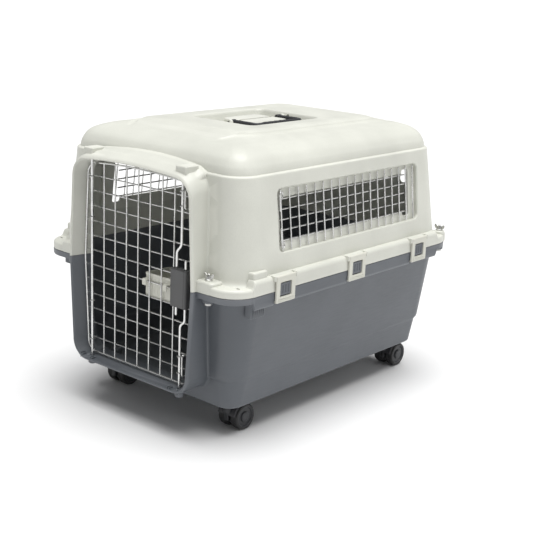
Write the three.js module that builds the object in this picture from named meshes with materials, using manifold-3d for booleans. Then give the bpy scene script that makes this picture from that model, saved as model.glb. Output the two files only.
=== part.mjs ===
// Pet transport carrier on casters. Millimetres, +Z up, front (door) towards -Y, origin on the floor
// under the middle of the carrier. Two moulded shells meet at a rim; a wire door hangs on a rod.
import * as THREE from 'three';
import { mergeVertices } from 'three/addons/utils/BufferGeometryUtils.js';
import Module from 'manifold-3d';

const wasm = await Module();
wasm.setup();

// ---------------------------------------------------------------- driving dimensions
const LENGTH = 686;                       // portal face to rear rim
const BODY_HEIGHT = 483;                  // base underside to roof
const BASE_Z = 62;                        // base underside above the floor
const ROOF_Z = BASE_Z + BODY_HEIGHT;
const FRONT_Y = -LENGTH / 2;
const REAR_Y = LENGTH / 2;
const RIM_Z = 287;                        // parting plane of the shells
const LEDGE_Z = 486;                      // step under the roof cap
const STEP_Z = 118;                       // shallow step round the foot of the lower shell
const WALL = 4;
const GAP = 0.3;                          // between pieces that touch

const RIM_HALF = 254;                     // half width over the rim flange
const RIM_FRONT_Y = -333;
const RIM_CORNER = 50;
const RIM_THICK = 15;
const BAND_HALF_LENGTH = 288;             // raised side bands along the rim
const BAND_HEIGHT = 28;
const LOWER_BAND_HEIGHT = 25;

// plan of the body at its main heights: half width, front, rear, front and rear corner radius
const BASE_PLAN = { half: 203, front: -281, rear: 306, frontR: 30, rearR: 32 };
const BELOW_STEP_PLAN = { half: 211, front: -285, rear: 313, frontR: 38, rearR: 38 };
const ABOVE_STEP_PLAN = { half: 213.5, front: -289, rear: 322, frontR: 42, rearR: 42 };
const RIM_PLAN = { half: 245, front: -307, rear: 333, frontR: 52, rearR: 70 };
const LEDGE_PLAN = { half: 223, front: -297, rear: 311, frontR: 47, rearR: 62 };

const PORTAL_HALF = 164;                  // half width of the portal at the parting plane
const PORTAL_TAPER = 0.055;               // half width lost per mm above or below it
const PORTAL_TOP = 492;
const PORTAL_BOTTOM = 90;
const PORTAL_TOP_R = 42;
const PORTAL_BOTTOM_R = 38;
const PORTAL_CROWN = 5;
const PORTAL_SLOPE = { drop: 9, y: -322 };   // its top falls towards the front from here
const PORTAL_BACK_Y = -250;
const JAMB_BACK_Y = -300;
const LIP = { side: 6, top: 14, bottom: 5 };        // portal edge left around the way in, at the front
const JAMB = { side: 15, top: 20, bottom: 7 };      // and at the back of the jamb

// raised arch over the portal: half of the outline of its ridge, and its reach from front to back
const BROW = [[146, 484], [128, 492], [100, 497], [50, 501], [0, 503]];
const BROW_FOOT_Z = 470;
const BROW_FRONT = { y: -330, drop: 12 };
const BROW_RIDGE_Y = -303;
const BROW_BACK_Y = -272;
const HEAD_BOSS = { x: [107, 132], y: [-333, -308], top: 498 };

const GRID_PITCH_X = 30.8;
const GRID_PITCH_Z = 28.5;
const GRID_COLUMNS = 7;
const GRID_FIRST_Z = 102;
const GRID_ROWS = 13;
const GRID_WIRE = 3;
const GRID_FACE_Y = -318.5;
const GRID_CLEAR = { side: 16, top: 22 };  // portal edge to the door's outline
const ROD_X = 118;
const ROD_Y = -324.2;
const ROD_R = 2.5;
const SOCKET_R = 3.7;
const SOCKET_BOSS_R = 8;
const SILL_Z = PORTAL_BOTTOM + 6;
const HEAD_Z = PORTAL_TOP - 14;
const SOCKET_DEPTH = 12;
const TIP_CLEARANCE = 0.9;

const HOUSING = { x0: 98, x1: 138, z0: 247, z1: 317, front: -333, back: -320.4, wall: 2.4 };
const UPPER_ROD_LOW_X = 107;
const LOWER_ROD_HIGH_X = 129;
const ROD_TAIL = 15;                      // rod left showing past the far end of the housing
const SPRING_R = 4;
const SPRING_LENGTH = 34;

const BOWL = { x0: 14, x1: 86, z0: 244, z1: 288, front: -314.5, depth: 58, wall: 2.5 };

const CLIP_Y = [-207, 2, 211];
const CLIP_WIDTH = 51;
const CLIP_PIVOT = { x: RIM_HALF + 2.6, z: 313 };
const CLIP_BARREL_R = 2.4;
const CLIP_PIN_R = 1.7;
const CLIP_BOTTOM_Z = 266;
const CLIP_WINDOW = { half: 15.3, z0: 276.5, z1: 302.5 };
const CATCH = { half: 14, z0: 278.3, z1: 300.7, x1: RIM_HALF + 3.4 };

const BOLTS = [
  { name: 'front_right', x: 178, y: -318 },
  { name: 'front_left', x: -178, y: -318 },
  { name: 'rear_right', x: 234, y: 322 },
  { name: 'rear_left', x: -234, y: 322 },
];
const BOLT_R = 3;
const BOSS_TOP_Z = 308;
const BOSS_BOTTOM_Z = 268;

const WINDOW = { y0: -203, y1: 228, z: 404, height: 112, openHeight: 76, depth: 8, frame: 6 };
const WINDOW_END = { plain: 12, closed: 21, slot: 20 };
const WINDOW_PITCH = 24;
const WINDOW_ROW_PITCH = 18.2;
const WINDOW_WIRE = 3;
const GRILLE_DEPTH = 3.5;
const WALL_LEAN = Math.atan((RIM_PLAN.half - LEDGE_PLAN.half) / (LEDGE_Z - 4 - RIM_Z));
const WINDOW_FACE_X = RIM_PLAN.half - (WINDOW.z - RIM_Z) * Math.tan(WALL_LEAN);
const VENT = { count: 7, width: 16, height: 58, pitch: 46, z: 425 };

const HANDLE = { pivotX: 2, gripX: 62, y0: -76, y1: 56, z: 538, thick: 10.6 };
const HANDLE_LUG_R = 6.6;
const HANDLE_PIN_R = 3;
const POCKET = { x0: -78, x1: 84, y0: -118, y1: 88, floor: 524 };
const POCKET_BLOCK = { x0: -44, x1: 44, y0: -58, y1: 38, top: 541 };

const CASTER_X = 155;
const CASTER_Y = [-232, 264];
const CASTER_TRAIL = 22;
const WHEEL_R = 25;
const WHEEL_WIDTH = 17;
const WHEEL_OFFSET = 15;
const STEM_R = 5.5;
const STEM_TOP_Z = BASE_Z + 11;

// ---------------------------------------------------------------- colours
const paint = (color, roughness, metalness = 0) =>
  new THREE.MeshStandardMaterial({ color, roughness, metalness });
const CREAM = paint(0xdfe0d6, 0.55);
const CREAM_CLIP = paint(0xe3e1d0, 0.5);
const GREY = paint(0x5d646a, 0.55);
const DARK = paint(0x4b4b4b, 0.5);
const BLACK = paint(0x24242a, 0.5);
const CHROME = paint(0xd8d8dc, 0.2, 1);
const STEEL = paint(0xb8b8bc, 0.35, 1);

// ---------------------------------------------------------------- solids
function solid(geometry) {
  const bare = geometry.clone();
  bare.deleteAttribute('normal');
  bare.deleteAttribute('uv');
  const merged = mergeVertices(bare, 1e-4);
  const triVerts = new Uint32Array(merged.index.array);
  const vertProperties = new Float32Array(merged.attributes.position.array);
  return new wasm.Manifold(new wasm.Mesh({ numProp: 3, vertProperties, triVerts }));
}

function geometryOf(shape) {
  const mesh = shape.getMesh();
  const geometry = new THREE.BufferGeometry();
  geometry.setAttribute('position', new THREE.BufferAttribute(new Float32Array(mesh.vertProperties), 3));
  geometry.setIndex(new THREE.BufferAttribute(new Uint32Array(mesh.triVerts), 1));
  const flat = geometry.toNonIndexed();
  flat.computeVertexNormals();
  return flat;
}

function box(xs, ys, zs) {
  const geometry = new THREE.BoxGeometry(xs[1] - xs[0], ys[1] - ys[0], zs[1] - zs[0]);
  geometry.translate((xs[0] + xs[1]) / 2, (ys[0] + ys[1]) / 2, (zs[0] + zs[1]) / 2);
  return solid(geometry);
}

// a box given for the right side, put on the side that sign names
function sideBox(sign, xs, ys, zs) {
  const across = sign > 0 ? xs : [-xs[1], -xs[0]];
  return box(across, ys, zs);
}

function cylinderZ(x, y, z0, z1, radius, facets = 16, topRadius = radius) {
  const geometry = new THREE.CylinderGeometry(topRadius, radius, z1 - z0, facets);
  geometry.rotateX(Math.PI / 2);
  geometry.translate(x, y, (z0 + z1) / 2);
  return solid(geometry);
}

function cylinderY(x, z, y0, y1, radius, facets = 12) {
  const geometry = new THREE.CylinderGeometry(radius, radius, y1 - y0, facets);
  geometry.translate(x, (y0 + y1) / 2, z);
  return solid(geometry);
}

function cylinderX(y, z, x0, x1, radius, facets = 12) {
  const geometry = new THREE.CylinderGeometry(radius, radius, x1 - x0, facets);
  geometry.rotateY(Math.PI / facets);
  geometry.rotateZ(Math.PI / 2);
  geometry.translate((x0 + x1) / 2, y, z);
  return solid(geometry);
}

// closed skin through rings that all have the same number of points
function loft(rings) {
  const count = rings[0].length;
  const index = [];
  for (let k = 0; k < rings.length - 1; k += 1) {
    for (let j = 0; j < count; j += 1) {
      const a = k * count + j;
      const b = k * count + (j + 1) % count;
      index.push(a, b, b + count, a, b + count, a + count);
    }
  }
  const last = (rings.length - 1) * count;
  for (let j = 1; j < count - 1; j += 1) {
    index.push(0, j + 1, j);
    index.push(last, last + j, last + j + 1);
  }
  const geometry = new THREE.BufferGeometry();
  geometry.setAttribute('position', new THREE.Float32BufferAttribute(rings.flat(2), 3));
  geometry.setIndex(index);
  return solid(geometry);
}

function arcPoints(cx, cy, radius, from, steps = 6) {
  const points = [];
  for (let i = 0; i <= steps; i += 1) {
    const angle = (from + (90 * i) / steps) * Math.PI / 180;
    points.push([cx + radius * Math.cos(angle), cy + radius * Math.sin(angle)]);
  }
  return points;
}

// rounded rectangle in plan, anticlockwise from above
function planRing(plan, z, inset = 0) {
  const half = plan.half - inset;
  const front = plan.front + inset;
  const rear = plan.rear - inset;
  const frontR = Math.max(plan.frontR - inset, 2);
  const rearR = Math.max(plan.rearR - inset, 2);
  return [
    ...arcPoints(half - frontR, front + frontR, frontR, -90),
    ...arcPoints(half - rearR, rear - rearR, rearR, 0),
    ...arcPoints(-half + rearR, rear - rearR, rearR, 90),
    ...arcPoints(-half + frontR, front + frontR, frontR, 180),
  ].map(([x, y]) => [x, y, z]);
}

const mix = (a, b, t) => a + (b - a) * t;

function mixPlan(a, b, t) {
  const plan = {};
  for (const key of Object.keys(a)) {
    plan[key] = mix(a[key], b[key], t);
  }
  return plan;
}

const portalHalfAt = (z) => PORTAL_HALF - PORTAL_TAPER * Math.abs(z - RIM_Z);

// outline of the portal in the XZ plane at one depth, clockwise seen from the front
function portalRing(y, inset) {
  const top = PORTAL_TOP - inset.top;
  const bottom = PORTAL_BOTTOM + inset.bottom;
  const topR = PORTAL_TOP_R - Math.min(inset.side, 20);
  const bottomR = PORTAL_BOTTOM_R - Math.min(inset.side, 20);
  const topHalf = portalHalfAt(top - topR) - inset.side;
  const bottomHalf = portalHalfAt(bottom + bottomR) - inset.side;
  const middle = PORTAL_HALF - inset.side;
  return [
    ...arcPoints(bottomHalf - bottomR, bottom + bottomR, bottomR, -90),
    [middle, RIM_Z],
    ...arcPoints(topHalf - topR, top - topR, topR, 0),
    [0, top + PORTAL_CROWN],
    ...arcPoints(-topHalf + topR, top - topR, topR, 90),
    [-middle, RIM_Z],
    ...arcPoints(-bottomHalf + bottomR, bottom + bottomR, bottomR, 180),
  ].reverse().map(([x, z]) => [x, y, z]);
}

const evenInset = (d) => ({ side: d, top: d, bottom: d });
const shrink = (inset, d) => ({ side: inset.side + d, top: inset.top + d, bottom: inset.bottom + d });

function insetAt(y) {
  const t = (y - FRONT_Y) / (JAMB_BACK_Y - FRONT_Y);
  return {
    side: mix(LIP.side, JAMB.side, t),
    top: mix(LIP.top, JAMB.top, t),
    bottom: mix(LIP.bottom, JAMB.bottom, t),
  };
}

function portalBlock(inset, y0, y1) {
  const front = { side: inset, top: inset + PORTAL_SLOPE.drop, bottom: inset };
  return loft([portalRing(y0, front), portalRing(PORTAL_SLOPE.y, evenInset(inset)), portalRing(y1, evenInset(inset))]);
}

function jamb() {
  return loft([portalRing(FRONT_Y + 1, shrink(insetAt(FRONT_Y + 1), -WALL)),
    portalRing(JAMB_BACK_Y, shrink(insetAt(JAMB_BACK_Y), -WALL))]);
}

function tunnel() {
  const reach = 2;
  return loft([portalRing(FRONT_Y - reach, insetAt(FRONT_Y - reach)),
    portalRing(JAMB_BACK_Y + reach, insetAt(JAMB_BACK_Y + reach))]);
}

// ---------------------------------------------------------------- shells
const belowRim = () => box([-400, 400], [-500, 500], [-10, RIM_Z - GAP / 2]);
const aboveRim = () => box([-400, 400], [-500, 500], [RIM_Z + GAP / 2, 700]);

function lowerBody(inset) {
  return loft([
    planRing(BASE_PLAN, BASE_Z + inset, 5 + inset),
    planRing(BASE_PLAN, BASE_Z + 1.5 + inset, 1.5 + inset),
    planRing(BASE_PLAN, BASE_Z + 5 + inset, inset),
    planRing(BELOW_STEP_PLAN, STEP_Z - 3, inset),
    planRing(ABOVE_STEP_PLAN, STEP_Z + 3, inset),
    planRing(RIM_PLAN, RIM_Z + inset, inset),
  ]);
}

const CAP = [
  { rise: 0, inset: 6 },
  { rise: 16, inset: 11 },
  { rise: 28, inset: 20 },
  { rise: 38, inset: 36 },
  { rise: 45, inset: 56 },
  { rise: 49, inset: 78 },
  { rise: 51, inset: 84 },
];
const PANEL = { inset: 88, slope: 6 };

function upperBody(inset) {
  const rings = [
    planRing(RIM_PLAN, RIM_Z - inset, inset),
    planRing(LEDGE_PLAN, LEDGE_Z - 4 - inset, inset),
    planRing(LEDGE_PLAN, LEDGE_Z - inset, inset + 1.5),
  ];
  for (const row of CAP) {
    rings.push(planRing(LEDGE_PLAN, LEDGE_Z + row.rise + 1 - inset, inset + row.inset));
  }
  rings.push(planRing(LEDGE_PLAN, ROOF_Z - 2 - inset, PANEL.inset));
  rings.push(planRing(LEDGE_PLAN, ROOF_Z - inset, PANEL.inset + PANEL.slope));
  return loft(rings);
}

function brow(inset) {
  const right = [[BROW[0][0], BROW_FOOT_Z], ...BROW].map(([x, z]) => [x - inset, z - inset]);
  right[right.length - 1][0] = 0;
  const left = right.slice(0, -1).map(([x, z]) => [-x, z]);
  const outline = [...left, ...right.reverse()];
  const ring = (y, drop) => outline.map(([x, z]) => [x, y, z - drop]);
  return loft([ring(BROW_FRONT.y + inset, BROW_FRONT.drop), ring(BROW_RIDGE_Y, 0), ring(BROW_BACK_Y, 0)]);
}

function rimPlate(z0, z1) {
  const plan = { half: RIM_HALF, front: RIM_FRONT_Y, rear: REAR_Y, frontR: RIM_CORNER, rearR: RIM_CORNER };
  return loft([planRing(plan, z0), planRing(plan, z1)]);
}

// a bar of constant section in XZ along Y, on the side that sign names
function sideBar(sign, points, y0, y1) {
  const ring = (y) => points.map(([x, z]) => [sign * x, y, z]);
  const ordered = sign > 0 ? [ring(y1), ring(y0)] : [ring(y0), ring(y1)];
  return loft(ordered);
}

function sideBands(z0, z1, chamferZ) {
  const inner = RIM_HALF - 16;
  const section = [[inner, z0], [RIM_HALF, z0], [RIM_HALF, chamferZ], [RIM_HALF - 8, z1], [inner, z1]];
  return [1, -1].map((sign) => sideBar(sign, section, -BAND_HALF_LENGTH, BAND_HALF_LENGTH));
}

function lowerSideBands() {
  const inner = RIM_HALF - 16;
  const low = RIM_Z - LOWER_BAND_HEIGHT;
  const section = [[inner, low], [RIM_HALF - 3, low], [RIM_HALF, low + 5], [RIM_HALF, RIM_Z], [inner, RIM_Z]];
  return [1, -1].map((sign) => sideBar(sign, section, -BAND_HALF_LENGTH, BAND_HALF_LENGTH));
}

const union = (shapes) => shapes.reduce((sum, shape) => sum.add(shape));
const cut = (shape, tools) => tools.reduce((left, tool) => left.subtract(tool), shape);

function boltHoles() {
  return BOLTS.map(({ x, y }) => cylinderZ(x, y, BOSS_BOTTOM_Z - 5, BOSS_TOP_Z + 5, BOLT_R + 0.6));
}

function tieHoles(z0, z1) {
  return [1, -1].map((sign) => sideBox(sign, [229, 237], [-306, -302], [z0, z1]));
}

function socketCuts() {
  const deep = SILL_Z - SOCKET_DEPTH;
  const high = HEAD_Z + SOCKET_DEPTH;
  const latch = ROD_R + 1.5;
  return [
    cylinderZ(-ROD_X, ROD_Y, deep, high, SOCKET_R, 12),
    box([ROD_X - latch, ROD_X + latch], [ROD_Y - latch, ROD_Y + latch], [deep, high]),
  ];
}

const CASTERS = [];
for (const [row, y] of CASTER_Y.entries()) {
  for (const sign of [1, -1]) {
    const name = `${row === 0 ? 'front' : 'rear'}_${sign > 0 ? 'right' : 'left'}`;
    CASTERS.push({ name, sign, x: sign * CASTER_X, y });
  }
}

function lowerShell() {
  const skin = union([
    lowerBody(0),
    portalBlock(0, FRONT_Y, PORTAL_BACK_Y),
    rimPlate(RIM_Z - 12, RIM_Z),
    ...lowerSideBands(),
    ...BOLTS.map(({ x, y }) => cylinderZ(x, y, BOSS_BOTTOM_Z, RIM_Z, 10)),
  ]).intersect(belowRim());
  const hollow = cut(skin, [lowerBody(WALL), portalBlock(WALL, FRONT_Y + WALL, PORTAL_BACK_Y - 1)]);
  const socketBosses = [1, -1].map((sign) =>
    cylinderZ(sign * ROD_X, ROD_Y, SILL_Z - SOCKET_DEPTH - 4, SILL_Z, SOCKET_BOSS_R));
  const casterBosses = CASTERS.map(({ x, y }) => cylinderZ(x, y, BASE_Z, STEM_TOP_Z + 5, 10));
  const filled = union([hollow, jamb().intersect(belowRim()), ...socketBosses, ...casterBosses, ...catches()]);
  return cut(filled, [
    tunnel(),
    ...socketCuts(),
    ...boltHoles(),
    ...tieHoles(RIM_Z - 30, RIM_Z + 1),
    ...hookNotches(),
    ...CASTERS.map(({ x, y }) => cylinderZ(x, y, BASE_Z - 1, STEM_TOP_Z + 1, STEM_R + 0.6)),
  ]);
}

// room for the hooks of the side clips in the lower bands
function hookNotches() {
  const reach = CLIP_WIDTH / 2 + 1;
  return [1, -1].flatMap((sign) => CLIP_Y.map((y) =>
    sideBox(sign, [RIM_HALF - 7, RIM_HALF + 5], [y - reach, y + reach],
      [RIM_Z - LOWER_BAND_HEIGHT - 1, CLIP_BOTTOM_Z + 4.4])));
}

// grooved tongues that the side clips snap over
function catches() {
  const tongues = [];
  for (const sign of [1, -1]) {
    for (const y of CLIP_Y) {
      const ys = [y - CATCH.half, y + CATCH.half];
      const tongue = sideBox(sign, [RIM_HALF + GAP, CATCH.x1], ys, [CATCH.z0, CATCH.z1]);
      const root = sideBox(sign, [RIM_HALF - 3, CATCH.x1], ys, [CATCH.z0, RIM_Z - GAP]);
      const groove = sideBox(sign, [CATCH.x1 - 1.2, CATCH.x1 + 1], [y - 3, y + 3], [CATCH.z0 + 5, CATCH.z1 - 5]);
      tongues.push(tongue.add(root).subtract(groove));
    }
  }
  return tongues;
}

function clipLugs() {
  const lugs = [];
  for (const sign of [1, -1]) {
    for (const y of CLIP_Y) {
      for (const end of [-1, 1]) {
        const from = y + end * (CLIP_WIDTH / 2 + 0.6);
        const to = from + end * 4.4;
        const ys = [Math.min(from, to), Math.max(from, to)];
        const xs = [RIM_HALF - 12, CLIP_PIVOT.x + CLIP_BARREL_R];
        lugs.push(sideBox(sign, xs, ys, [CLIP_PIVOT.z - 6, CLIP_PIVOT.z + 3]));
      }
    }
  }
  return lugs;
}

function clipPinHoles() {
  const reach = CLIP_WIDTH / 2 + 6;
  return [1, -1].flatMap((sign) => CLIP_Y.map((y) =>
    cylinderY(sign * CLIP_PIVOT.x, CLIP_PIVOT.z, y - reach, y + reach, CLIP_PIN_R + 0.4, 8)));
}

// a box in the plane of a leaning side wall: depth is measured inwards from the wall's face
function wallBox(sign, depths, ys, halfHeight) {
  const geometry = new THREE.BoxGeometry(depths[1] - depths[0], ys[1] - ys[0], 2 * halfHeight);
  geometry.translate(-sign * (depths[0] + depths[1]) / 2, (ys[0] + ys[1]) / 2, 0);
  geometry.rotateY(-sign * WALL_LEAN);
  geometry.translate(sign * WINDOW_FACE_X, 0, WINDOW.z);
  return solid(geometry);
}

// the open end slot is at the rear on the right side and at the front on the left
function windowOpening(sign) {
  const tail = WINDOW_END.closed + WINDOW_END.slot;
  return sign > 0 ? [WINDOW.y0 + WINDOW_END.plain, WINDOW.y1 - tail] : [WINDOW.y0 + tail, WINDOW.y1 - WINDOW_END.plain];
}

function windowSlot(sign) {
  const { closed, slot } = WINDOW_END;
  return sign > 0 ? [WINDOW.y1 - closed - slot - 1, WINDOW.y1 - closed] : [WINDOW.y0 + closed, WINDOW.y0 + closed + slot + 1];
}

function windowFrames() {
  const ys = [WINDOW.y0 - WINDOW.frame, WINDOW.y1 + WINDOW.frame];
  return [1, -1].map((sign) =>
    wallBox(sign, [1, WINDOW.depth + WALL], ys, WINDOW.height / 2 + WINDOW.frame));
}

function windowCuts() {
  return [1, -1].flatMap((sign) => [
    wallBox(sign, [-6, WINDOW.depth], [WINDOW.y0, WINDOW.y1], WINDOW.height / 2),
    wallBox(sign, [-6, 30], windowOpening(sign), WINDOW.openHeight / 2),
    wallBox(sign, [-6, 30], windowSlot(sign), WINDOW.openHeight / 2 + 8),
  ]);
}

function ventCuts() {
  const cuts = [];
  for (let i = 0; i < VENT.count; i += 1) {
    const x = (i - (VENT.count - 1) / 2) * VENT.pitch;
    cuts.push(box([x - VENT.width / 2, x + VENT.width / 2], [REAR_Y - 60, REAR_Y + 10],
      [VENT.z - VENT.height / 2, VENT.z + VENT.height / 2]));
  }
  return cuts;
}

function handlePocket() {
  const tray = box([POCKET.x0 - WALL, POCKET.x1 + WALL], [POCKET.y0 - WALL, POCKET.y1 + WALL],
    [POCKET.floor - WALL, ROOF_Z - 2]);
  const inside = box([POCKET.x0, POCKET.x1], [POCKET.y0, POCKET.y1], [POCKET.floor, ROOF_Z + 5]);
  const block = box([POCKET_BLOCK.x0, POCKET_BLOCK.x1], [POCKET_BLOCK.y0, POCKET_BLOCK.y1],
    [POCKET.floor - 1, POCKET_BLOCK.top]);
  return { tray, inside: inside.subtract(block) };
}

function handleLugs() {
  const outside = [[HANDLE.y0 - 14, HANDLE.y0 - 6.5], [HANDLE.y1 + 6.5, HANDLE.y1 + 14]];
  const lugs = outside.map((ys) => {
    const foot = box([HANDLE.pivotX - 8, HANDLE.pivotX + 8], ys, [POCKET.floor - 1, HANDLE.z - 4]);
    return foot.add(cylinderY(HANDLE.pivotX, HANDLE.z, ys[0], ys[1], HANDLE_LUG_R, 16));
  });
  return union(lugs).subtract(
    cylinderY(HANDLE.pivotX, HANDLE.z, HANDLE.y0 - 30, HANDLE.y1 + 30, HANDLE_PIN_R + 0.7));
}

function flangeBosses() {
  const front = [1, -1].map((sign) => sideBox(sign, [150, 200], [-333, -300], [RIM_Z, BOSS_TOP_Z]));
  const rear = BOLTS.filter(({ y }) => y > 0).map(({ x, y }) => cylinderZ(x, y, RIM_Z, BOSS_TOP_Z, 12));
  const blocks = [1, -1].map((sign) =>
    sideBox(sign, [230, RIM_HALF - 7], [-280, -244], [RIM_Z + 20, RIM_Z + 40]));
  return [...front, ...rear, ...blocks];
}

function upperShell() {
  const pocket = handlePocket();
  const skin = union([
    upperBody(0),
    portalBlock(0, FRONT_Y, PORTAL_BACK_Y),
    brow(0),
    rimPlate(RIM_Z, RIM_Z + RIM_THICK),
    ...sideBands(RIM_Z, RIM_Z + BAND_HEIGHT, RIM_Z + BAND_HEIGHT - 8),
    ...flangeBosses(),
    ...clipLugs(),
  ]).intersect(aboveRim());
  const hollow = cut(skin, [upperBody(WALL), portalBlock(WALL, FRONT_Y + WALL, PORTAL_BACK_Y - 1), brow(WALL)]);
  const socketBosses = [1, -1].map((sign) => sideBox(sign, HEAD_BOSS.x, HEAD_BOSS.y, [HEAD_Z - 2, HEAD_BOSS.top]));
  const filled = union([hollow, jamb().intersect(aboveRim()), ...socketBosses, ...windowFrames(), pocket.tray]);
  const opened = cut(filled, [
    tunnel(),
    ...socketCuts(),
    ...boltHoles(),
    ...tieHoles(RIM_Z - 1, RIM_Z + 60),
    ...clipPinHoles(),
    ...windowCuts(),
    ...ventCuts(),
    pocket.inside,
  ]);
  return opened.add(handleLugs());
}

// ---------------------------------------------------------------- door
// wires of a flat square mesh inside the outline of a portal ring, as one solid
function doorGrid() {
  const y0 = GRID_FACE_Y;
  const y1 = GRID_FACE_Y + GRID_WIRE;
  const clear = { ...GRID_CLEAR, bottom: GRID_FIRST_Z - PORTAL_BOTTOM - GRID_WIRE / 2 };
  const plate = loft([portalRing(y0, clear), portalRing(y1, clear)]);
  const window = loft([portalRing(y0 - 1, shrink(clear, GRID_WIRE)), portalRing(y1 + 1, shrink(clear, GRID_WIRE))]);
  const bars = [];
  for (let row = 1; row < GRID_ROWS; row += 1) {
    const z = GRID_FIRST_Z + row * GRID_PITCH_Z;
    bars.push(box([-200, 200], [y0, y1], [z - GRID_WIRE / 2, z + GRID_WIRE / 2]));
  }
  for (let column = 0; column < GRID_COLUMNS; column += 1) {
    const x = (column - (GRID_COLUMNS - 1) / 2) * GRID_PITCH_X;
    bars.push(box([x - GRID_WIRE / 2, x + GRID_WIRE / 2], [y0, y1], [60, 520]));
  }
  return plate.subtract(window.subtract(union(bars)));
}

// round wire along straight stretches given as points in XZ at the rods' depth
function wireThrough(points, radius = ROD_R, facets = 8) {
  const path = new THREE.CurvePath();
  for (let i = 0; i < points.length - 1; i += 1) {
    const from = new THREE.Vector3(points[i][0], ROD_Y, points[i][1]);
    const to = new THREE.Vector3(points[i + 1][0], ROD_Y, points[i + 1][1]);
    path.add(new THREE.LineCurve3(from, to));
  }
  const pieces = path.curves.map(({ v1, v2 }) => {
    const length = v1.distanceTo(v2);
    const geometry = new THREE.CylinderGeometry(radius, radius, length, facets);
    const turn = new THREE.Quaternion().setFromUnitVectors(
      new THREE.Vector3(0, 1, 0), v2.clone().sub(v1).normalize());
    geometry.applyQuaternion(turn);
    const middle = v1.clone().add(v2).multiplyScalar(0.5);
    geometry.translate(middle.x, middle.y, middle.z);
    return solid(geometry);
  });
  const joints = path.curves.slice(1).map(({ v1 }) => {
    const ball = new THREE.SphereGeometry(radius, 8, 4);
    ball.translate(v1.x, v1.y, v1.z);
    return solid(ball);
  });
  return union([...pieces, ...joints]);
}

function hingeRod() {
  return cylinderZ(-ROD_X, ROD_Y, SILL_Z - SOCKET_DEPTH + 1, HEAD_Z + SOCKET_DEPTH - 1, ROD_R, 12);
}

// the rod narrows to a jog above the housing, then runs down through it
function upperLatchRod() {
  const tip = HEAD_Z - TIP_CLEARANCE;
  const rod = wireThrough([[ROD_X, tip], [ROD_X, 358], [UPPER_ROD_LOW_X, 346], [UPPER_ROD_LOW_X, HOUSING.z0 - ROD_TAIL]]);
  return rod.add(cylinderZ(UPPER_ROD_LOW_X, ROD_Y, HOUSING.z0 + 38, HOUSING.z0 + 41, SPRING_R));
}

function lowerLatchRod() {
  const tip = SILL_Z + TIP_CLEARANCE + 0.6;
  const rod = wireThrough([[ROD_X, tip], [ROD_X, 213], [LOWER_ROD_HIGH_X, 222], [LOWER_ROD_HIGH_X, HOUSING.z1 + ROD_TAIL]]);
  return rod.add(cylinderZ(LOWER_ROD_HIGH_X, ROD_Y, HOUSING.z1 - 41, HOUSING.z1 - 38, SPRING_R));
}

// compression spring on a latch rod, drawn as the sleeve that its turns fill
function latchSpring(x, z0) {
  const inner = ROD_R + 0.5;
  const profile = [[inner, 0], [SPRING_R, 0], [SPRING_R, SPRING_LENGTH], [inner, SPRING_LENGTH], [inner, 0]];
  const geometry = new THREE.LatheGeometry(profile.map(([r, h]) => new THREE.Vector2(r, h)), 12);
  geometry.rotateX(Math.PI / 2);
  geometry.translate(x, ROD_Y, z0);
  return solid(geometry);
}

function latchHousing() {
  const { x0, x1, z0, z1, front, back, wall } = HOUSING;
  const shell = box([x0, x1], [front, back], [z0, z1]);
  const inside = box([x0 + wall, x1 - wall], [front + wall, back + 1], [z0 + wall, z1 - wall]);
  const notch = (x) => box([x - ROD_R - 0.8, x + ROD_R + 0.8], [ROD_Y - ROD_R - 0.8, back + 1], [z0 - 1, z1 + 1]);
  return cut(shell, [inside, notch(UPPER_ROD_LOW_X), notch(LOWER_ROD_HIGH_X)]);
}

function latchCover() {
  const { x0, x1, z0, z1, back } = HOUSING;
  return box([x0, x1], [back + GAP, GRID_FACE_Y - GAP], [z0, z1]);
}

// open-topped feeder that hangs on one horizontal door wire by two hooks
function foodBowl() {
  const { x0, x1, z0, z1, front, depth, wall } = BOWL;
  const ring = (z, inset, back) => {
    const plan = [[x0 + inset, front + inset], [x1 - inset, front + inset],
      [x1 - inset - 6, front + back - inset], [x0 + inset + 6, front + back - inset]];
    return plan.map(([x, y]) => [x, y, z]);
  };
  const outer = loft([ring(z0, 0, depth - 10), ring(z1, 0, depth)]);
  const inner = loft([ring(z0 + wall, wall, depth - 10), ring(z1 + 1, wall, depth)]);
  const wireZ = GRID_FIRST_Z + 6 * GRID_PITCH_Z;
  const low = wireZ + GRID_WIRE / 2 + 0.5;
  const hookWidth = 10;
  const hooks = [x0 + 3, x1 - 16].map((x) => {
    const tab = box([x, x + hookWidth], [front, front + wall], [z0 + 4, low + 3]);
    const tongue = box([x, x + hookWidth], [GRID_FACE_Y - 4.5, front + wall], [low, low + 3]);
    const lip = box([x, x + hookWidth], [GRID_FACE_Y - 4.5, GRID_FACE_Y - 2], [low - 9, low + 3]);
    return union([tab, tongue, lip]);
  });
  return union([outer.subtract(inner), ...hooks]);
}

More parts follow.
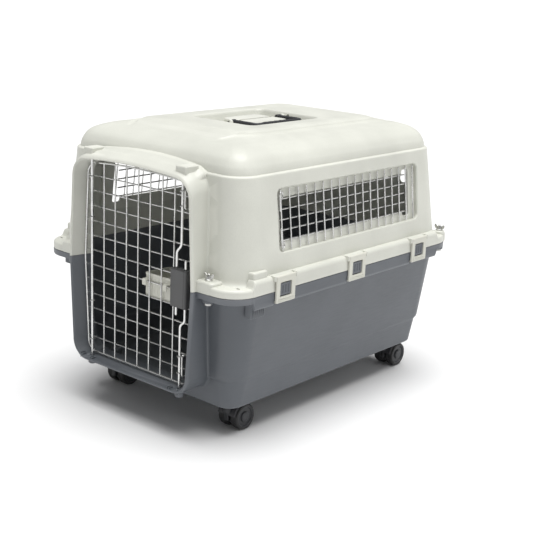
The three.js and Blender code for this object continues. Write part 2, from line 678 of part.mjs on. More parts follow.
// ---------------------------------------------------------------- fittings
function sideClip(sign, y) {
  const half = CLIP_WIDTH / 2;
  const face = [RIM_HALF + 0.8, RIM_HALF + 4.8];
  const plate = sideBox(sign, face, [y - half, y + half], [CLIP_BOTTOM_Z, CLIP_PIVOT.z]);
  const hook = sideBox(sign, [RIM_HALF - 6, face[1]], [y - half, y + half], [CLIP_BOTTOM_Z, CLIP_BOTTOM_Z + 3.6]);
  const barrel = cylinderY(sign * CLIP_PIVOT.x, CLIP_PIVOT.z, y - half, y + half, CLIP_BARREL_R);
  const pin = cylinderY(sign * CLIP_PIVOT.x, CLIP_PIVOT.z, y - half - 4.4, y + half + 4.4, CLIP_PIN_R, 8);
  const window = sideBox(sign, [RIM_HALF - 1, RIM_HALF + 9],
    [y - CLIP_WINDOW.half, y + CLIP_WINDOW.half], [CLIP_WINDOW.z0, CLIP_WINDOW.z1]);
  return union([plate, hook, barrel, pin]).subtract(window);
}

function wingBolt({ x, y }) {
  const head = cylinderZ(x, y, BOSS_BOTTOM_Z - 4.3, BOSS_BOTTOM_Z - GAP, 7);
  return head.add(cylinderZ(x, y, BOSS_BOTTOM_Z - 1, BOSS_TOP_Z + 12, BOLT_R, 12));
}

function wingNut({ x, y }) {
  const z0 = BOSS_TOP_Z + GAP;
  const hub = cylinderZ(x, y, z0, z0 + 8, 6, 12, 4.8);
  const wings = [1, -1].map((side) => {
    const ring = (dy) => [[3, 2], [6, 1], [12, 6], [12, 12], [8.5, 12], [4, 7]].map(([dx, dz]) =>
      [x + side * dx, y + dy, z0 + dz]);
    return side > 0 ? loft([ring(1.2), ring(-1.2)]) : loft([ring(-1.2), ring(1.2)]);
  });
  return union([hub, ...wings]).subtract(cylinderZ(x, y, z0 - 1, z0 + 20, BOLT_R + 0.35, 12));
}

// lines that bound each wire of a row of wires, with the row's two free ends
const wireLines = (centres, wire, end) =>
  [-end, ...centres.flatMap((at) => [at - wire / 2, at + wire / 2]), end];

// flat square mesh of wires in XY: the cells between lines 1 and 2, 3 and 4 and so on are wire
function wireMesh(xs, ys, thickness) {
  const corners = [];
  const quad = (a, b, c, d) => corners.push(...a, ...b, ...c, ...a, ...c, ...d);
  const isWire = (i, j) => {
    const inside = i >= 0 && j >= 0 && i < xs.length - 1 && j < ys.length - 1;
    return inside && (i % 2 === 1 || j % 2 === 1);
  };
  for (let i = 0; i < xs.length - 1; i += 1) {
    for (let j = 0; j < ys.length - 1; j += 1) {
      if (isWire(i, j)) {
        const at = (right, up, front) => [xs[i + right], ys[j + up], front * thickness];
        quad(at(0, 0, 1), at(1, 0, 1), at(1, 1, 1), at(0, 1, 1));
        quad(at(0, 0, 0), at(0, 1, 0), at(1, 1, 0), at(1, 0, 0));
        if (!isWire(i - 1, j)) quad(at(0, 0, 0), at(0, 0, 1), at(0, 1, 1), at(0, 1, 0));
        if (!isWire(i + 1, j)) quad(at(1, 0, 0), at(1, 1, 0), at(1, 1, 1), at(1, 0, 1));
        if (!isWire(i, j - 1)) quad(at(0, 0, 0), at(1, 0, 0), at(1, 0, 1), at(0, 0, 1));
        if (!isWire(i, j + 1)) quad(at(0, 1, 0), at(0, 1, 1), at(1, 1, 1), at(1, 1, 0));
      }
    }
  }
  const geometry = new THREE.BufferGeometry();
  geometry.setAttribute('position', new THREE.Float32BufferAttribute(corners, 3));
  return geometry;
}

function grille(sign) {
  const span = WINDOW.y1 - WINDOW.y0;
  const count = Math.floor((span - 10) / WINDOW_PITCH);
  const columns = Array.from({ length: count + 1 }, (_, i) => (i - count / 2) * WINDOW_PITCH);
  const rows = [-2, -1, 0, 1, 2].map((row) => row * WINDOW_ROW_PITCH);
  const reach = WINDOW.height / 2 - 0.5;
  const across = wireLines(columns, WINDOW_WIRE, span / 2 - 0.5);
  const geometry = wireMesh(across, wireLines(rows, WINDOW_WIRE, reach), WINDOW_WIRE);
  const up = new THREE.Vector3(-sign * Math.sin(WALL_LEAN), 0, Math.cos(WALL_LEAN));
  const along = new THREE.Vector3(0, 1, 0);
  const outward = new THREE.Vector3().crossVectors(along, up);
  const depth = sign > 0 ? -GRILLE_DEPTH - WINDOW_WIRE : GRILLE_DEPTH;
  geometry.translate(0, 0, depth);
  geometry.applyMatrix4(new THREE.Matrix4().makeBasis(along, up, outward));
  geometry.translate(sign * WINDOW_FACE_X, (WINDOW.y0 + WINDOW.y1) / 2, WINDOW.z);
  return solid(geometry);
}

function roofHandle() {
  const { pivotX, gripX, y0, y1, z, thick } = HANDLE;
  const half = thick / 2;
  const arms = [y0, y1].map((y) =>
    box([pivotX, gripX], [y - 5, y + 5], [z - half, z + half])
      .add(cylinderY(pivotX, z, y - 5, y + 5, half + 0.4, 16)));
  const grip = cylinderY(gripX, z, y0 - 5, y1 + 5, half + 1.2, 12);
  const pins = cylinderY(pivotX, z, y0 - 13, y0, HANDLE_PIN_R).add(cylinderY(pivotX, z, y1, y1 + 13, HANDLE_PIN_R));
  return union([...arms, grip, pins]);
}

// ---------------------------------------------------------------- casters
function casterFork({ x, y }) {
  const axleY = y + CASTER_TRAIL;
  const hoodInner = WHEEL_R + 1.8;
  const hoodR = hoodInner + 2.4;
  const hood = cylinderX(axleY, WHEEL_R, x - 21, x + 21, hoodR, 16)
    .subtract(cylinderX(axleY, WHEEL_R, x - 22, x + 22, hoodInner, 16))
    .intersect(box([x - 30, x + 30], [y - 14, axleY + 14], [WHEEL_R + 6, BASE_Z - 1]));
  const web = cylinderX(axleY, WHEEL_R, x - 5, x + 5, WHEEL_R - 6, 14)
    .add(box([x - 5, x + 5], [y - 7, axleY + 6], [WHEEL_R - 5, WHEEL_R + 27]));
  const boss = cylinderZ(x, y, WHEEL_R + 10, BASE_Z - 0.8, 9.5);
  const clearOfWheels = box([x - 5.6, x + 5.6], [y - 30, axleY + 40], [2, BASE_Z])
    .add(box([x - 30, x + 30], [y - 30, axleY + 40], [WHEEL_R, BASE_Z])
      .subtract(cylinderX(axleY, WHEEL_R, x - 31, x + 31, hoodInner, 16)));
  const form = union([hood, web, boss]).intersect(clearOfWheels);
  return cut(form, [
    cylinderX(axleY, WHEEL_R, x - 12, x + 12, 3.5),
    cylinderZ(x, y, BASE_Z - 14, BASE_Z + 2, STEM_R + GAP, 12),
  ]);
}

const casterStem = ({ x, y }) => cylinderZ(x, y, BASE_Z - 13, STEM_TOP_Z, STEM_R, 12);

const casterAxle = ({ x, y }) =>
  cylinderX(y + CASTER_TRAIL, WHEEL_R, x - WHEEL_OFFSET - 6, x + WHEEL_OFFSET + 6, 3);

// the rim is cut as a regular polygon whose flat rests on the floor
function casterWheel({ x, y }, side) {
  const facets = 24;
  const radius = WHEEL_R / Math.cos(Math.PI / facets);
  const middle = x + side * WHEEL_OFFSET;
  const axleY = y + CASTER_TRAIL;
  const tread = WHEEL_WIDTH / 2 - 2.5;
  const profile = [[3.4, -WHEEL_WIDTH / 2], [radius - 4, -WHEEL_WIDTH / 2], [radius, -tread], [radius, tread],
    [radius - 4, WHEEL_WIDTH / 2], [3.4, WHEEL_WIDTH / 2], [3.4, -WHEEL_WIDTH / 2]];
  const geometry = new THREE.LatheGeometry(profile.map(([r, h]) => new THREE.Vector2(r, h)), facets);
  geometry.rotateY(Math.PI / facets);
  geometry.rotateZ(Math.PI / 2);
  geometry.translate(middle, axleY, WHEEL_R);
  return solid(geometry);
}

// ---------------------------------------------------------------- assembly
const carrier = new THREE.Group();

function place(name, shape, material) {
  const mesh = new THREE.Mesh(geometryOf(shape), material);
  mesh.name = name;
  carrier.add(mesh);
}

place('lower_shell', lowerShell(), GREY);
place('upper_shell', upperShell(), CREAM);
place('window_grille_right', grille(1), CHROME);
place('window_grille_left', grille(-1), CHROME);
place('door_grid', doorGrid(), CHROME);
place('hinge_rod', hingeRod(), CHROME);
place('upper_latch_rod', upperLatchRod(), CHROME);
place('lower_latch_rod', lowerLatchRod(), CHROME);
place('upper_latch_spring', latchSpring(UPPER_ROD_LOW_X, HOUSING.z0 + 38 - GAP - SPRING_LENGTH), STEEL);
place('lower_latch_spring', latchSpring(LOWER_ROD_HIGH_X, HOUSING.z1 - 38 + GAP), STEEL);
place('latch_housing', latchHousing(), DARK);
place('latch_cover', latchCover(), DARK);
place('food_bowl', foodBowl(), CREAM_CLIP);
place('roof_handle', roofHandle(), BLACK);
for (const [i, y] of CLIP_Y.entries()) {
  const row = ['front', 'middle', 'rear'][i];
  place(`side_clip_right_${row}`, sideClip(1, y), CREAM_CLIP);
  place(`side_clip_left_${row}`, sideClip(-1, y), CREAM_CLIP);
}
for (const bolt of BOLTS) {
  place(`wing_bolt_${bolt.name}`, wingBolt(bolt), STEEL);
  place(`wing_nut_${bolt.name}`, wingNut(bolt), STEEL);
}
for (const caster of CASTERS) {
  place(`caster_fork_${caster.name}`, casterFork(caster), BLACK);
  place(`caster_stem_${caster.name}`, casterStem(caster), STEEL);
  place(`caster_axle_${caster.name}`, casterAxle(caster), STEEL);
  place(`wheel_outer_${caster.name}`, casterWheel(caster, caster.sign), BLACK);
  place(`wheel_inner_${caster.name}`, casterWheel(caster, -caster.sign), BLACK);
}

export default carrier;
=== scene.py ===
"""Looks for the pet transport carrier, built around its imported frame.

Shapes are drawn in millimetres, +Z up, door towards -Y, and turned to metres when a mesh is made.
"""
import math

import bpy
from mathutils import Matrix, Vector


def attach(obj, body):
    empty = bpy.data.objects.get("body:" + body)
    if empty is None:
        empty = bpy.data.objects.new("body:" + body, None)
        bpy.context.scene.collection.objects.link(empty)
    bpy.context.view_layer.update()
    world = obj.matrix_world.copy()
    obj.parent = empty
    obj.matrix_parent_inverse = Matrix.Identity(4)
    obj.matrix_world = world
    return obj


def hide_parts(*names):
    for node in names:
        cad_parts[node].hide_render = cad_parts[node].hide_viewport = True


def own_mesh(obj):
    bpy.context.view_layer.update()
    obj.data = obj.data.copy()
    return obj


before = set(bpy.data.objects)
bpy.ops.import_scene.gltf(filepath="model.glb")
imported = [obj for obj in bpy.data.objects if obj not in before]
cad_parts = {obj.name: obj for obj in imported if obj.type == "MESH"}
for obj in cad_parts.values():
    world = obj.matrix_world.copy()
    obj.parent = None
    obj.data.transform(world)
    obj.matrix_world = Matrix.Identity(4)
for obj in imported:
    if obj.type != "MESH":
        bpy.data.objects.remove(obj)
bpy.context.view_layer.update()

# ---------------------------------------------------------------- driving dimensions, in millimetres
MM = 0.001
FRONT_Y = -343.0
REAR_Y = 343.0
BASE_Z = 62.0
RIM_Z = 287.0
LEDGE_Z = 486.0
ROOF_Z = 545.0
STEP_Z = 118.0
WALL = 4.0
SEAM = 0.35                 # half of the visible gap between the shells

# plans of the body: half width, front, rear, front corner radius, rear corner radius
BASE_PLAN = (203.0, -281.0, 306.0, 30.0, 32.0)
BELOW_STEP_PLAN = (211.0, -285.0, 313.0, 38.0, 38.0)
ABOVE_STEP_PLAN = (213.5, -289.0, 322.0, 42.0, 42.0)
RIM_PLAN = (245.0, -307.0, 333.0, 52.0, 70.0)
LEDGE_PLAN = (223.0, -297.0, 311.0, 47.0, 62.0)
FLANGE_PLAN = (254.0, -333.0, 343.0, 50.0, 50.0)
CAP = [(0, 6), (8, 7.6), (16, 11), (28, 20), (38, 36), (45, 56), (49, 76), (52.5, 90),
       (56, 99), (57.7, 108), (58, 118)]

PORTAL_HALF = 164.0
PORTAL_TAPER = 0.055
PORTAL_TOP = 492.0
PORTAL_BOTTOM = 90.0
PORTAL_TOP_R = 42.0
PORTAL_BOTTOM_R = 38.0
PORTAL_CROWN = 5.0
PORTAL_DROP = 9.0           # how far the portal's top falls towards the front
PORTAL_SLOPE_Y = -322.0     # where that fall starts
LIP = (6.0, 14.0, 5.0)      # portal edge left at the sides, top and bottom of the way in
JAMB = (15.0, 20.0, 7.0)    # and at the back of the jamb
JAMB_BACK_Y = -300.0

FLANGE_THICK = 15.0
BAND_HALF_LENGTH = 288.0
BAND_HEIGHT = 28.0
LOWER_BAND = 25.0

PITCH_X = 30.8
PITCH_Z = 28.5
GRID_FIRST_Z = 102.0
GRID_ROWS = 13
WIRE_R = 1.4
UPRIGHT_Y = -317.3
CROSS_Y = -315.5
ROD_X = 118.0
ROD_Y = -324.2
ROD_R = 2.5
SILL_Z = 96.0
HEAD_Z = 478.0

HOUSING = {"x": (98.0, 138.0), "y": (-333.0, -320.4), "z": (247.0, 317.0)}
UPPER_ROD_LOW_X = 107.0
LOWER_ROD_HIGH_X = 129.0
BOWL = {"x": (14.0, 86.0), "y": (-313.8, -256.5), "z": (244.0, 288.0)}

CLIP_Y = {"front": -207.0, "middle": 2.0, "rear": 211.0}
CLIP_HALF = 25.5
CLIP_PIVOT = (256.6, 313.0)
CLIP_BOTTOM_Z = 266.0
CLIP_WINDOW_Z = (276.5, 302.5)
CATCH_Z = (278.3, 300.7)

BOLTS = {"front_right": (178.0, -318.0), "front_left": (-178.0, -318.0),
         "rear_right": (234.0, 322.0), "rear_left": (-234.0, 322.0)}
BOSS_TOP_Z = 308.0
BOSS_BOTTOM_Z = 268.0

WINDOW_Y = (-203.0, 228.0)
WINDOW_Z = 404.0
WINDOW_HEIGHT = 112.0
WINDOW_OPEN = 76.0
WINDOW_DEPTH = 8.0
WINDOW_PITCH = 24.0
WINDOW_ROW_PITCH = 18.2
WINDOW_PLAIN = 12.0         # wall left closed at the plain end of a window
WINDOW_CLOSED = 21.0        # and at the end with the slot
WINDOW_SLOT = 20.0
WALL_LEAN = math.atan((RIM_PLAN[0] - LEDGE_PLAN[0]) / (LEDGE_Z - 4 - RIM_Z))
WINDOW_FACE_X = RIM_PLAN[0] - (WINDOW_Z - RIM_Z) * math.tan(WALL_LEAN)

HANDLE = {"pivot": 2.0, "grip": 62.0, "y": (-76.0, 56.0), "z": 538.0, "thick": 10.6}
POCKET = {"x": (-78.0, 84.0), "y": (-118.0, 88.0), "floor": 524.0}

CASTERS = {"front_right": (155.0, -232.0), "front_left": (-155.0, -232.0),
           "rear_right": (155.0, 264.0), "rear_left": (-155.0, 264.0)}
TRAIL = 22.0
WHEEL_R = 25.0


# ---------------------------------------------------------------- meshes
def add_object(name, points, faces):
    """A mesh object from points in millimetres, with its faces turned outwards."""
    mesh = bpy.data.meshes.new(name)
    mesh.from_pydata([(x * MM, y * MM, z * MM) for x, y, z in points], [], faces)
    mesh.validate()
    obj = bpy.data.objects.new(name, mesh)
    bpy.context.scene.collection.objects.link(obj)
    face_outwards(mesh)
    return obj


def face_outwards(mesh):
    """Turns a closed mesh over if its volume comes out negative."""
    mesh.calc_loop_triangles()
    volume = 0.0
    for tri in mesh.loop_triangles:
        a, b, c = (mesh.vertices[i].co for i in tri.vertices)
        volume += a.dot(b.cross(c))
    if volume < 0:
        mesh.flip_normals()


def loft(name, rings, closed=False):
    """A closed skin through rings that have the same number of points, capped unless it closes on itself."""
    count = len(rings[0])
    points = [p for ring in rings for p in ring]
    faces = []
    spans = len(rings) if closed else len(rings) - 1
    for k in range(spans):
        low = k * count
        high = ((k + 1) % len(rings)) * count
        for j in range(count):
            n = (j + 1) % count
            faces.append((low + j, low + n, high + n, high + j))
    if not closed:
        faces.append(tuple(reversed(range(count))))
        faces.append(tuple(range((len(rings) - 1) * count, len(rings) * count)))
    return add_object(name, points, faces)


def apply_modifiers(obj):
    bpy.context.view_layer.update()
    seen = obj.evaluated_get(bpy.context.evaluated_depsgraph_get())
    mesh = bpy.data.meshes.new_from_object(seen)
    old = obj.data
    obj.modifiers.clear()
    obj.data = mesh
    bpy.data.meshes.remove(old)
    mesh.name = obj.name
    return obj


def combine(base, tools, operation):
    """Joins tools to base, cuts them from it, or keeps what they share, as one closed solid."""
    for tool in tools:
        step = base.modifiers.new("step", "BOOLEAN")
        step.operation = operation
        step.solver = "MANIFOLD"
        step.object = tool
    apply_modifiers(base)
    for tool in tools:
        bpy.data.objects.remove(tool)
    return base


def joined(base, *tools):
    return combine(base, tools, "UNION")


def cut(base, *tools):
    return combine(base, tools, "DIFFERENCE")


def common(base, *tools):
    return combine(base, tools, "INTERSECT")


def merged(name, objects):
    """One object holding the meshes of several, without joining their surfaces."""
    points = []
    faces = []
    for obj in objects:
        start = len(points)
        points += [tuple(v.co / MM) for v in obj.data.vertices]
        faces += [tuple(start + i for i in f.vertices) for f in obj.data.polygons]
        bpy.data.objects.remove(obj)
    mesh = bpy.data.meshes.new(name)
    mesh.from_pydata([(x * MM, y * MM, z * MM) for x, y, z in points], [], faces)
    result = bpy.data.objects.new(name, mesh)
    bpy.context.scene.collection.objects.link(result)
    return result


def arc(cx, cy, radius, start, steps=12, sweep=90.0):
    points = []
    for i in range(steps + 1):
        a = math.radians(start + sweep * i / steps)
        points.append((cx + radius * math.cos(a), cy + radius * math.sin(a)))
    return points


def edge_rows(at, radius, side, steps=4):
    """(position, inset) rows of a rounded edge, from its flat face at a position to its side."""
    if not radius:
        return [(at, 0.0)]
    turns = [math.radians(90 * i / steps) for i in range(steps + 1)]
    return [(at - side * radius * (1 - math.cos(a)), radius * (1 - math.sin(a))) for a in turns]


def rounded_rect(xs, ys, radius, inset=0.0, steps=5):
    r = max(radius - inset, 0.05)
    x0, x1 = xs[0] + inset, xs[1] - inset
    y0, y1 = ys[0] + inset, ys[1] - inset
    return (arc(x1 - r, y0 + r, r, -90, steps) + arc(x1 - r, y1 - r, r, 0, steps)
            + arc(x0 + r, y1 - r, r, 90, steps) + arc(x0 + r, y0 + r, r, 180, steps))


def soft_box(name, xs, ys, zs, corner, top=0.0, bottom=0.0):
    """An upright block with rounded corners in plan and rounded top and bottom edges."""
    levels = edge_rows(zs[0], bottom, -1) + edge_rows(zs[1], top, 1)[::-1]
    return loft(name, [[(x, y, z) for x, y in rounded_rect(xs, ys, corner, i)] for z, i in levels])


def box(name, xs, ys, zs):
    ring = [(xs[0], ys[0]), (xs[1], ys[0]), (xs[1], ys[1]), (xs[0], ys[1])]
    return loft(name, [[(x, y, z) for x, y in ring] for z in zs])


def side(sign, xs):
    return xs if sign > 0 else (-xs[1], -xs[0])


def turned(name, profile, centre, axis="Z", steps=32):
    """A solid turned about an axis; profile is (radius, height) from one end of the axis to the other."""
    rings = []
    for radius, height in profile:
        r = max(radius, 0.02)
        ring = []
        for i in range(steps):
            a = 2 * math.pi * i / steps
            u, v = r * math.cos(a), r * math.sin(a)
            local = {"Z": (u, v, height), "Y": (v, height, u), "X": (height, u, v)}[axis]
            ring.append(tuple(c + d for c, d in zip(centre, local)))
        rings.append(ring)
    return loft(name, rings)


def hoop(name, profile, centre, axis="Z", steps=32):
    """A ring turned about an axis; profile is a closed outline of (radius, height)."""
    rings = []
    for i in range(steps):
        a = 2 * math.pi * i / steps
        ring = []
        for radius, height in profile:
            u, v = radius * math.cos(a), radius * math.sin(a)
            local = {"Z": (u, v, height), "Y": (v, height, u), "X": (height, u, v)}[axis]
            ring.append(tuple(c + d for c, d in zip(centre, local)))
        rings.append(ring)
    return loft(name, rings, closed=True)


def bent(points, radius, steps=5):
    """A path whose corners are rounded to the radius."""
    path = [Vector(points[0])]
    for before, corner, after in zip(points, points[1:], points[2:]):
        c = Vector(corner)
        back = Vector(before) - c
        ahead = Vector(after) - c
        reach = min(radius, back.length * 0.45, ahead.length * 0.45)
        start = c + back.normalized() * reach
        end = c + ahead.normalized() * reach
        for i in range(steps + 1):
            t = i / steps
            path.append((1 - t) ** 2 * start + 2 * t * (1 - t) * c + t * t * end)
    path.append(Vector(points[-1]))
    return path


def wire(name, points, radius, sides=8, closed=False):
    """A round wire along a path, with rounded ends."""
    path = [Vector(p) for p in points]
    count = len(path)
    tangents = []
    for i in range(count):
        before = path[i - 1] if closed or i else path[0]
        after = path[(i + 1) % count] if closed or i < count - 1 else path[-1]
        tangents.append((after - before).normalized())
    normal = tangents[0].orthogonal().normalized()
    rings = []
    for i in range(count):
        normal = (normal - tangents[i] * normal.dot(tangents[i])).normalized()
        across = tangents[i].cross(normal)
        sizes = [(0.0, 1.0)]
        if not closed and i == 0:
            sizes = [(-0.9, 0.3), (-0.55, 0.8), (0.0, 1.0)]
        if not closed and i == count - 1:
            sizes = [(0.0, 1.0), (0.55, 0.8), (0.9, 0.3)]
        for shift, size in sizes:
            middle = path[i] + tangents[i] * (shift * radius)
            ring = []
            for k in range(sides):
                a = 2 * math.pi * k / sides
                ring.append(tuple(middle + (normal * math.cos(a) + across * math.sin(a)) * (radius * size)))
            rings.append(ring)
    return loft(name, rings, closed)


# ---------------------------------------------------------------- outlines of the shells
def mix(a, b, t):
    return a + (b - a) * t


def mix_plan(a, b, t):
    return tuple(mix(p, q, t) for p, q in zip(a, b))


def plan_ring(plan, z, inset=0.0, steps=14):
    half, front, rear, front_r, rear_r = plan
    half -= inset
    front += inset
    rear -= inset
    fr = max(front_r - inset, 0.4 * front_r)
    rr = max(rear_r - inset, 0.4 * rear_r)
    ring = (arc(half - fr, front + fr, fr, -90, steps) + arc(half - rr, rear - rr, rr, 0, steps)
            + arc(-half + rr, rear - rr, rr, 90, steps) + arc(-half + fr, front + fr, fr, 180, steps))
    return [(x, y, z) for x, y in ring]


def portal_half_at(z):
    return PORTAL_HALF - PORTAL_TAPER * abs(z - RIM_Z)


def portal_outline(inset, steps=12):
    """(x, z) points of the portal outline, pulled in by insets for its sides, top and bottom."""
    side_in, top_in, bottom_in = inset
    top = PORTAL_TOP - top_in
    bottom = PORTAL_BOTTOM + bottom_in
    top_r = PORTAL_TOP_R - min(side_in, 20)
    bottom_r = PORTAL_BOTTOM_R - min(side_in, 20)
    top_half = portal_half_at(top - top_r) - side_in
    bottom_half = portal_half_at(bottom + bottom_r) - side_in
    middle = PORTAL_HALF - side_in
    right = arc(bottom_half - bottom_r, bottom + bottom_r, bottom_r, -90, steps)
    right += [(mix(bottom_half, middle, t), mix(bottom + bottom_r, RIM_Z, t)) for t in (0.33, 0.66, 1.0)]
    right += [(mix(middle, top_half, t), mix(RIM_Z, top - top_r, t)) for t in (0.33, 0.66)]
    right += arc(top_half - top_r, top - top_r, top_r, 0, steps)
    flat = top_half - top_r
    crown = [(flat * t, top + PORTAL_CROWN * (1 - t * t)) for t in (0.8, 0.6, 0.4, 0.2)]
    left = [(-x, z) for x, z in reversed(right + crown)]
    return right + crown + [(0.0, top + PORTAL_CROWN)] + left


def even(d):
    return (d, d, d)


def front_wall(z):
    """Y of the body's front wall at a height."""
    rows = [(BASE_Z, BASE_PLAN[1]), (STEP_Z - 3, BELOW_STEP_PLAN[1]), (STEP_Z + 3, ABOVE_STEP_PLAN[1]),
            (RIM_Z, RIM_PLAN[1]), (LEDGE_Z - 4, LEDGE_PLAN[1]), (560.0, LEDGE_PLAN[1] + 8)]
    for (z0, y0), (z1, y1) in zip(rows, rows[1:]):
        if z <= z1:
            return mix(y0, y1, max(0.0, (z - z0) / (z1 - z0)))
    return rows[-1][1]


def drop_at(y):
    """How far the portal's top has fallen at a depth."""
    return PORTAL_DROP * min(1.0, max(0.0, (PORTAL_SLOPE_Y - y) / (PORTAL_SLOPE_Y - FRONT_Y)))


def portal_block(name):
    """The portal's outer form: rounded front edge, sloping top and a tight hollow where it meets the body."""
    rings = []
    for y, i in edge_rows(FRONT_Y, 5.0, -1, 5):
        rings.append([(x, y, z) for x, z in portal_outline((i, i + drop_at(y), i))])
    for y in (-332.0, -327.0, PORTAL_SLOPE_Y):
        rings.append([(x, y, z) for x, z in portal_outline((0.0, drop_at(y), 0.0))])
    hollow = 4.0
    for i in range(7):
        a = math.radians(90 * i / 6)
        out = hollow * (1 - math.cos(a))
        gap = hollow * (1 - math.sin(a))
        outline = portal_outline((-out, -0.2 * out, -out))
        rings.append([(x, front_wall(z) - gap, z) for x, z in outline])
    outline = portal_outline((-hollow, -0.2 * hollow, -hollow))
    rings.append([(x, front_wall(z) + 14, z) for x, z in outline])
    return loft(name, rings)


def portal_hollow(name):
    rings = []
    for y in (FRONT_Y + WALL, PORTAL_SLOPE_Y, -249.0):
        rings.append([(x, y, z) for x, z in portal_outline((WALL, WALL + drop_at(y), WALL))])
    return loft(name, rings)


def inset_at(y):
    t = (y - FRONT_Y) / (JAMB_BACK_Y - FRONT_Y)
    return tuple(mix(a, b, t) for a, b in zip(LIP, JAMB))


def grown(inset, d):
    return tuple(i + d for i in inset)


def jamb(name):
    depths = (FRONT_Y + 1.5, JAMB_BACK_Y)
    return loft(name, [[(x, y, z) for x, z in portal_outline(grown(inset_at(y), -WALL))] for y in depths])


def tunnel(name):
    """The way in, with a rounded edge at the front."""
    rings = [[(x, FRONT_Y - 3.0, z) for x, z in portal_outline(grown(inset_at(FRONT_Y), -1.8))]]
    for i in range(5):
        a = math.radians(90 * i / 4)
        y = FRONT_Y + 1.8 * math.sin(a)
        inset = grown(inset_at(y), -1.8 * math.cos(a))
        rings.append([(x, y, z) for x, z in portal_outline(inset)])
    rings.append([(x, JAMB_BACK_Y + 3, z) for x, z in portal_outline(inset_at(JAMB_BACK_Y + 3))])
    return loft(name, rings)


def above_seam(name):
    return box(name, (-400, 400), (-500, 500), (RIM_Z + SEAM, 700))


def below_seam(name):
    return box(name, (-400, 400), (-500, 500), (-10, RIM_Z - SEAM))


def drilled(name, x, y, z0, z1, radius):
    return turned(name, [(radius, z0), (radius, z1)], (x, y, 0))


# ---------------------------------------------------------------- lower shell
def lower_rings(inset):
    rings = []
    for z, edge in edge_rows(BASE_Z + inset, 6.0, -1, 5):
        rings.append(plan_ring(BASE_PLAN, z, inset + edge))
    for t in (0.35, 0.7, 0.97):
        rings.append(plan_ring(mix_plan(BASE_PLAN, BELOW_STEP_PLAN, t), mix(BASE_Z + 6, STEP_Z - 3, t) + inset * 0.3, inset))
    rings.append(plan_ring(BELOW_STEP_PLAN, STEP_Z - 2.2, inset - 0.6))
    rings.append(plan_ring(mix_plan(BELOW_STEP_PLAN, ABOVE_STEP_PLAN, 0.5), STEP_Z - 0.2, inset - 0.3))
    rings.append(plan_ring(mix_plan(BELOW_STEP_PLAN, ABOVE_STEP_PLAN, 0.9), STEP_Z + 1.9, inset))
    rings.append(plan_ring(ABOVE_STEP_PLAN, STEP_Z + 3.4, inset))
    for t in (0.1, 0.25, 0.45, 0.65, 0.85, 1.0):
        rings.append(plan_ring(mix_plan(ABOVE_STEP_PLAN, RIM_PLAN, t), mix(STEP_Z + 3.4, RIM_Z + 6, t), inset))
    return rings


def lower_flange(name):
    z0 = RIM_Z - 12
    rows = [(z0, 3.0), (z0 + 0.9, 0.9), (z0 + 3, 0.0), (RIM_Z - 1.0, 0.0), (RIM_Z - SEAM, 0.7)]
    return loft(name, [plan_ring(FLANGE_PLAN, z, i) for z, i in rows])


def band(name, sign, section_at, half_length, ramp=7.0, steps=8):
    """A bar along one side whose section grows over a ramp at both ends."""
    stations = []
    for i in range(steps + 1):
        t = i / steps
        stations.append((-half_length + ramp * t, t * t * (3 - 2 * t)))
    stations += [(-y, s) for y, s in reversed(stations)]
    rings = [[(sign * x, y, z) for x, z in section_at(s)] for y, s in stations]
    return loft(name, rings)


def upper_band_section(share):
    top = RIM_Z + mix(FLANGE_THICK + 0.5, BAND_HEIGHT, share)
    r = mix(4.0, 8.0, share)
    curve = arc(254.0 - r, top - r, r, 0, 6)
    return [(236.0, RIM_Z + SEAM), (253.4, RIM_Z + SEAM), (254.0, RIM_Z + 1.0)] + curve + [(236.0, top)]


def lower_band_section(share):
    low = RIM_Z - mix(12.5, LOWER_BAND, share)
    curve = [(254.0 - 4 + x, low + 4 + z) for x, z in arc(0, 0, 4.0, -90, 4)]
    return [(236.0, low)] + curve + [(254.0, RIM_Z - 1.0), (253.4, RIM_Z - SEAM), (236.0, RIM_Z - SEAM)]


def catches():
    """Grooved tongues that the side clips snap over."""
    tongues = []
    for sign in (1, -1):
        for y in CLIP_Y.values():
            low, high = CATCH_Z
            root = soft_box("root", side(sign, (250.0, 257.2)), (y - 14, y + 14), (low, RIM_Z - SEAM), 1.0, 0.0, 1.0)
            tongue = soft_box("tongue", side(sign, (254.4, 257.2)), (y - 14, y + 14), (low, high), 1.0, 1.0, 1.0)
            grooves = [soft_box("groove", side(sign, (256.0, 260.0)), (y + c - 1.5, y + c + 1.5),
                                (low + 4, high - 4), 1.2) for c in (-7.5, 0.0, 7.5)]
            tongues.append(cut(joined(tongue, root), *grooves))
    return tongues


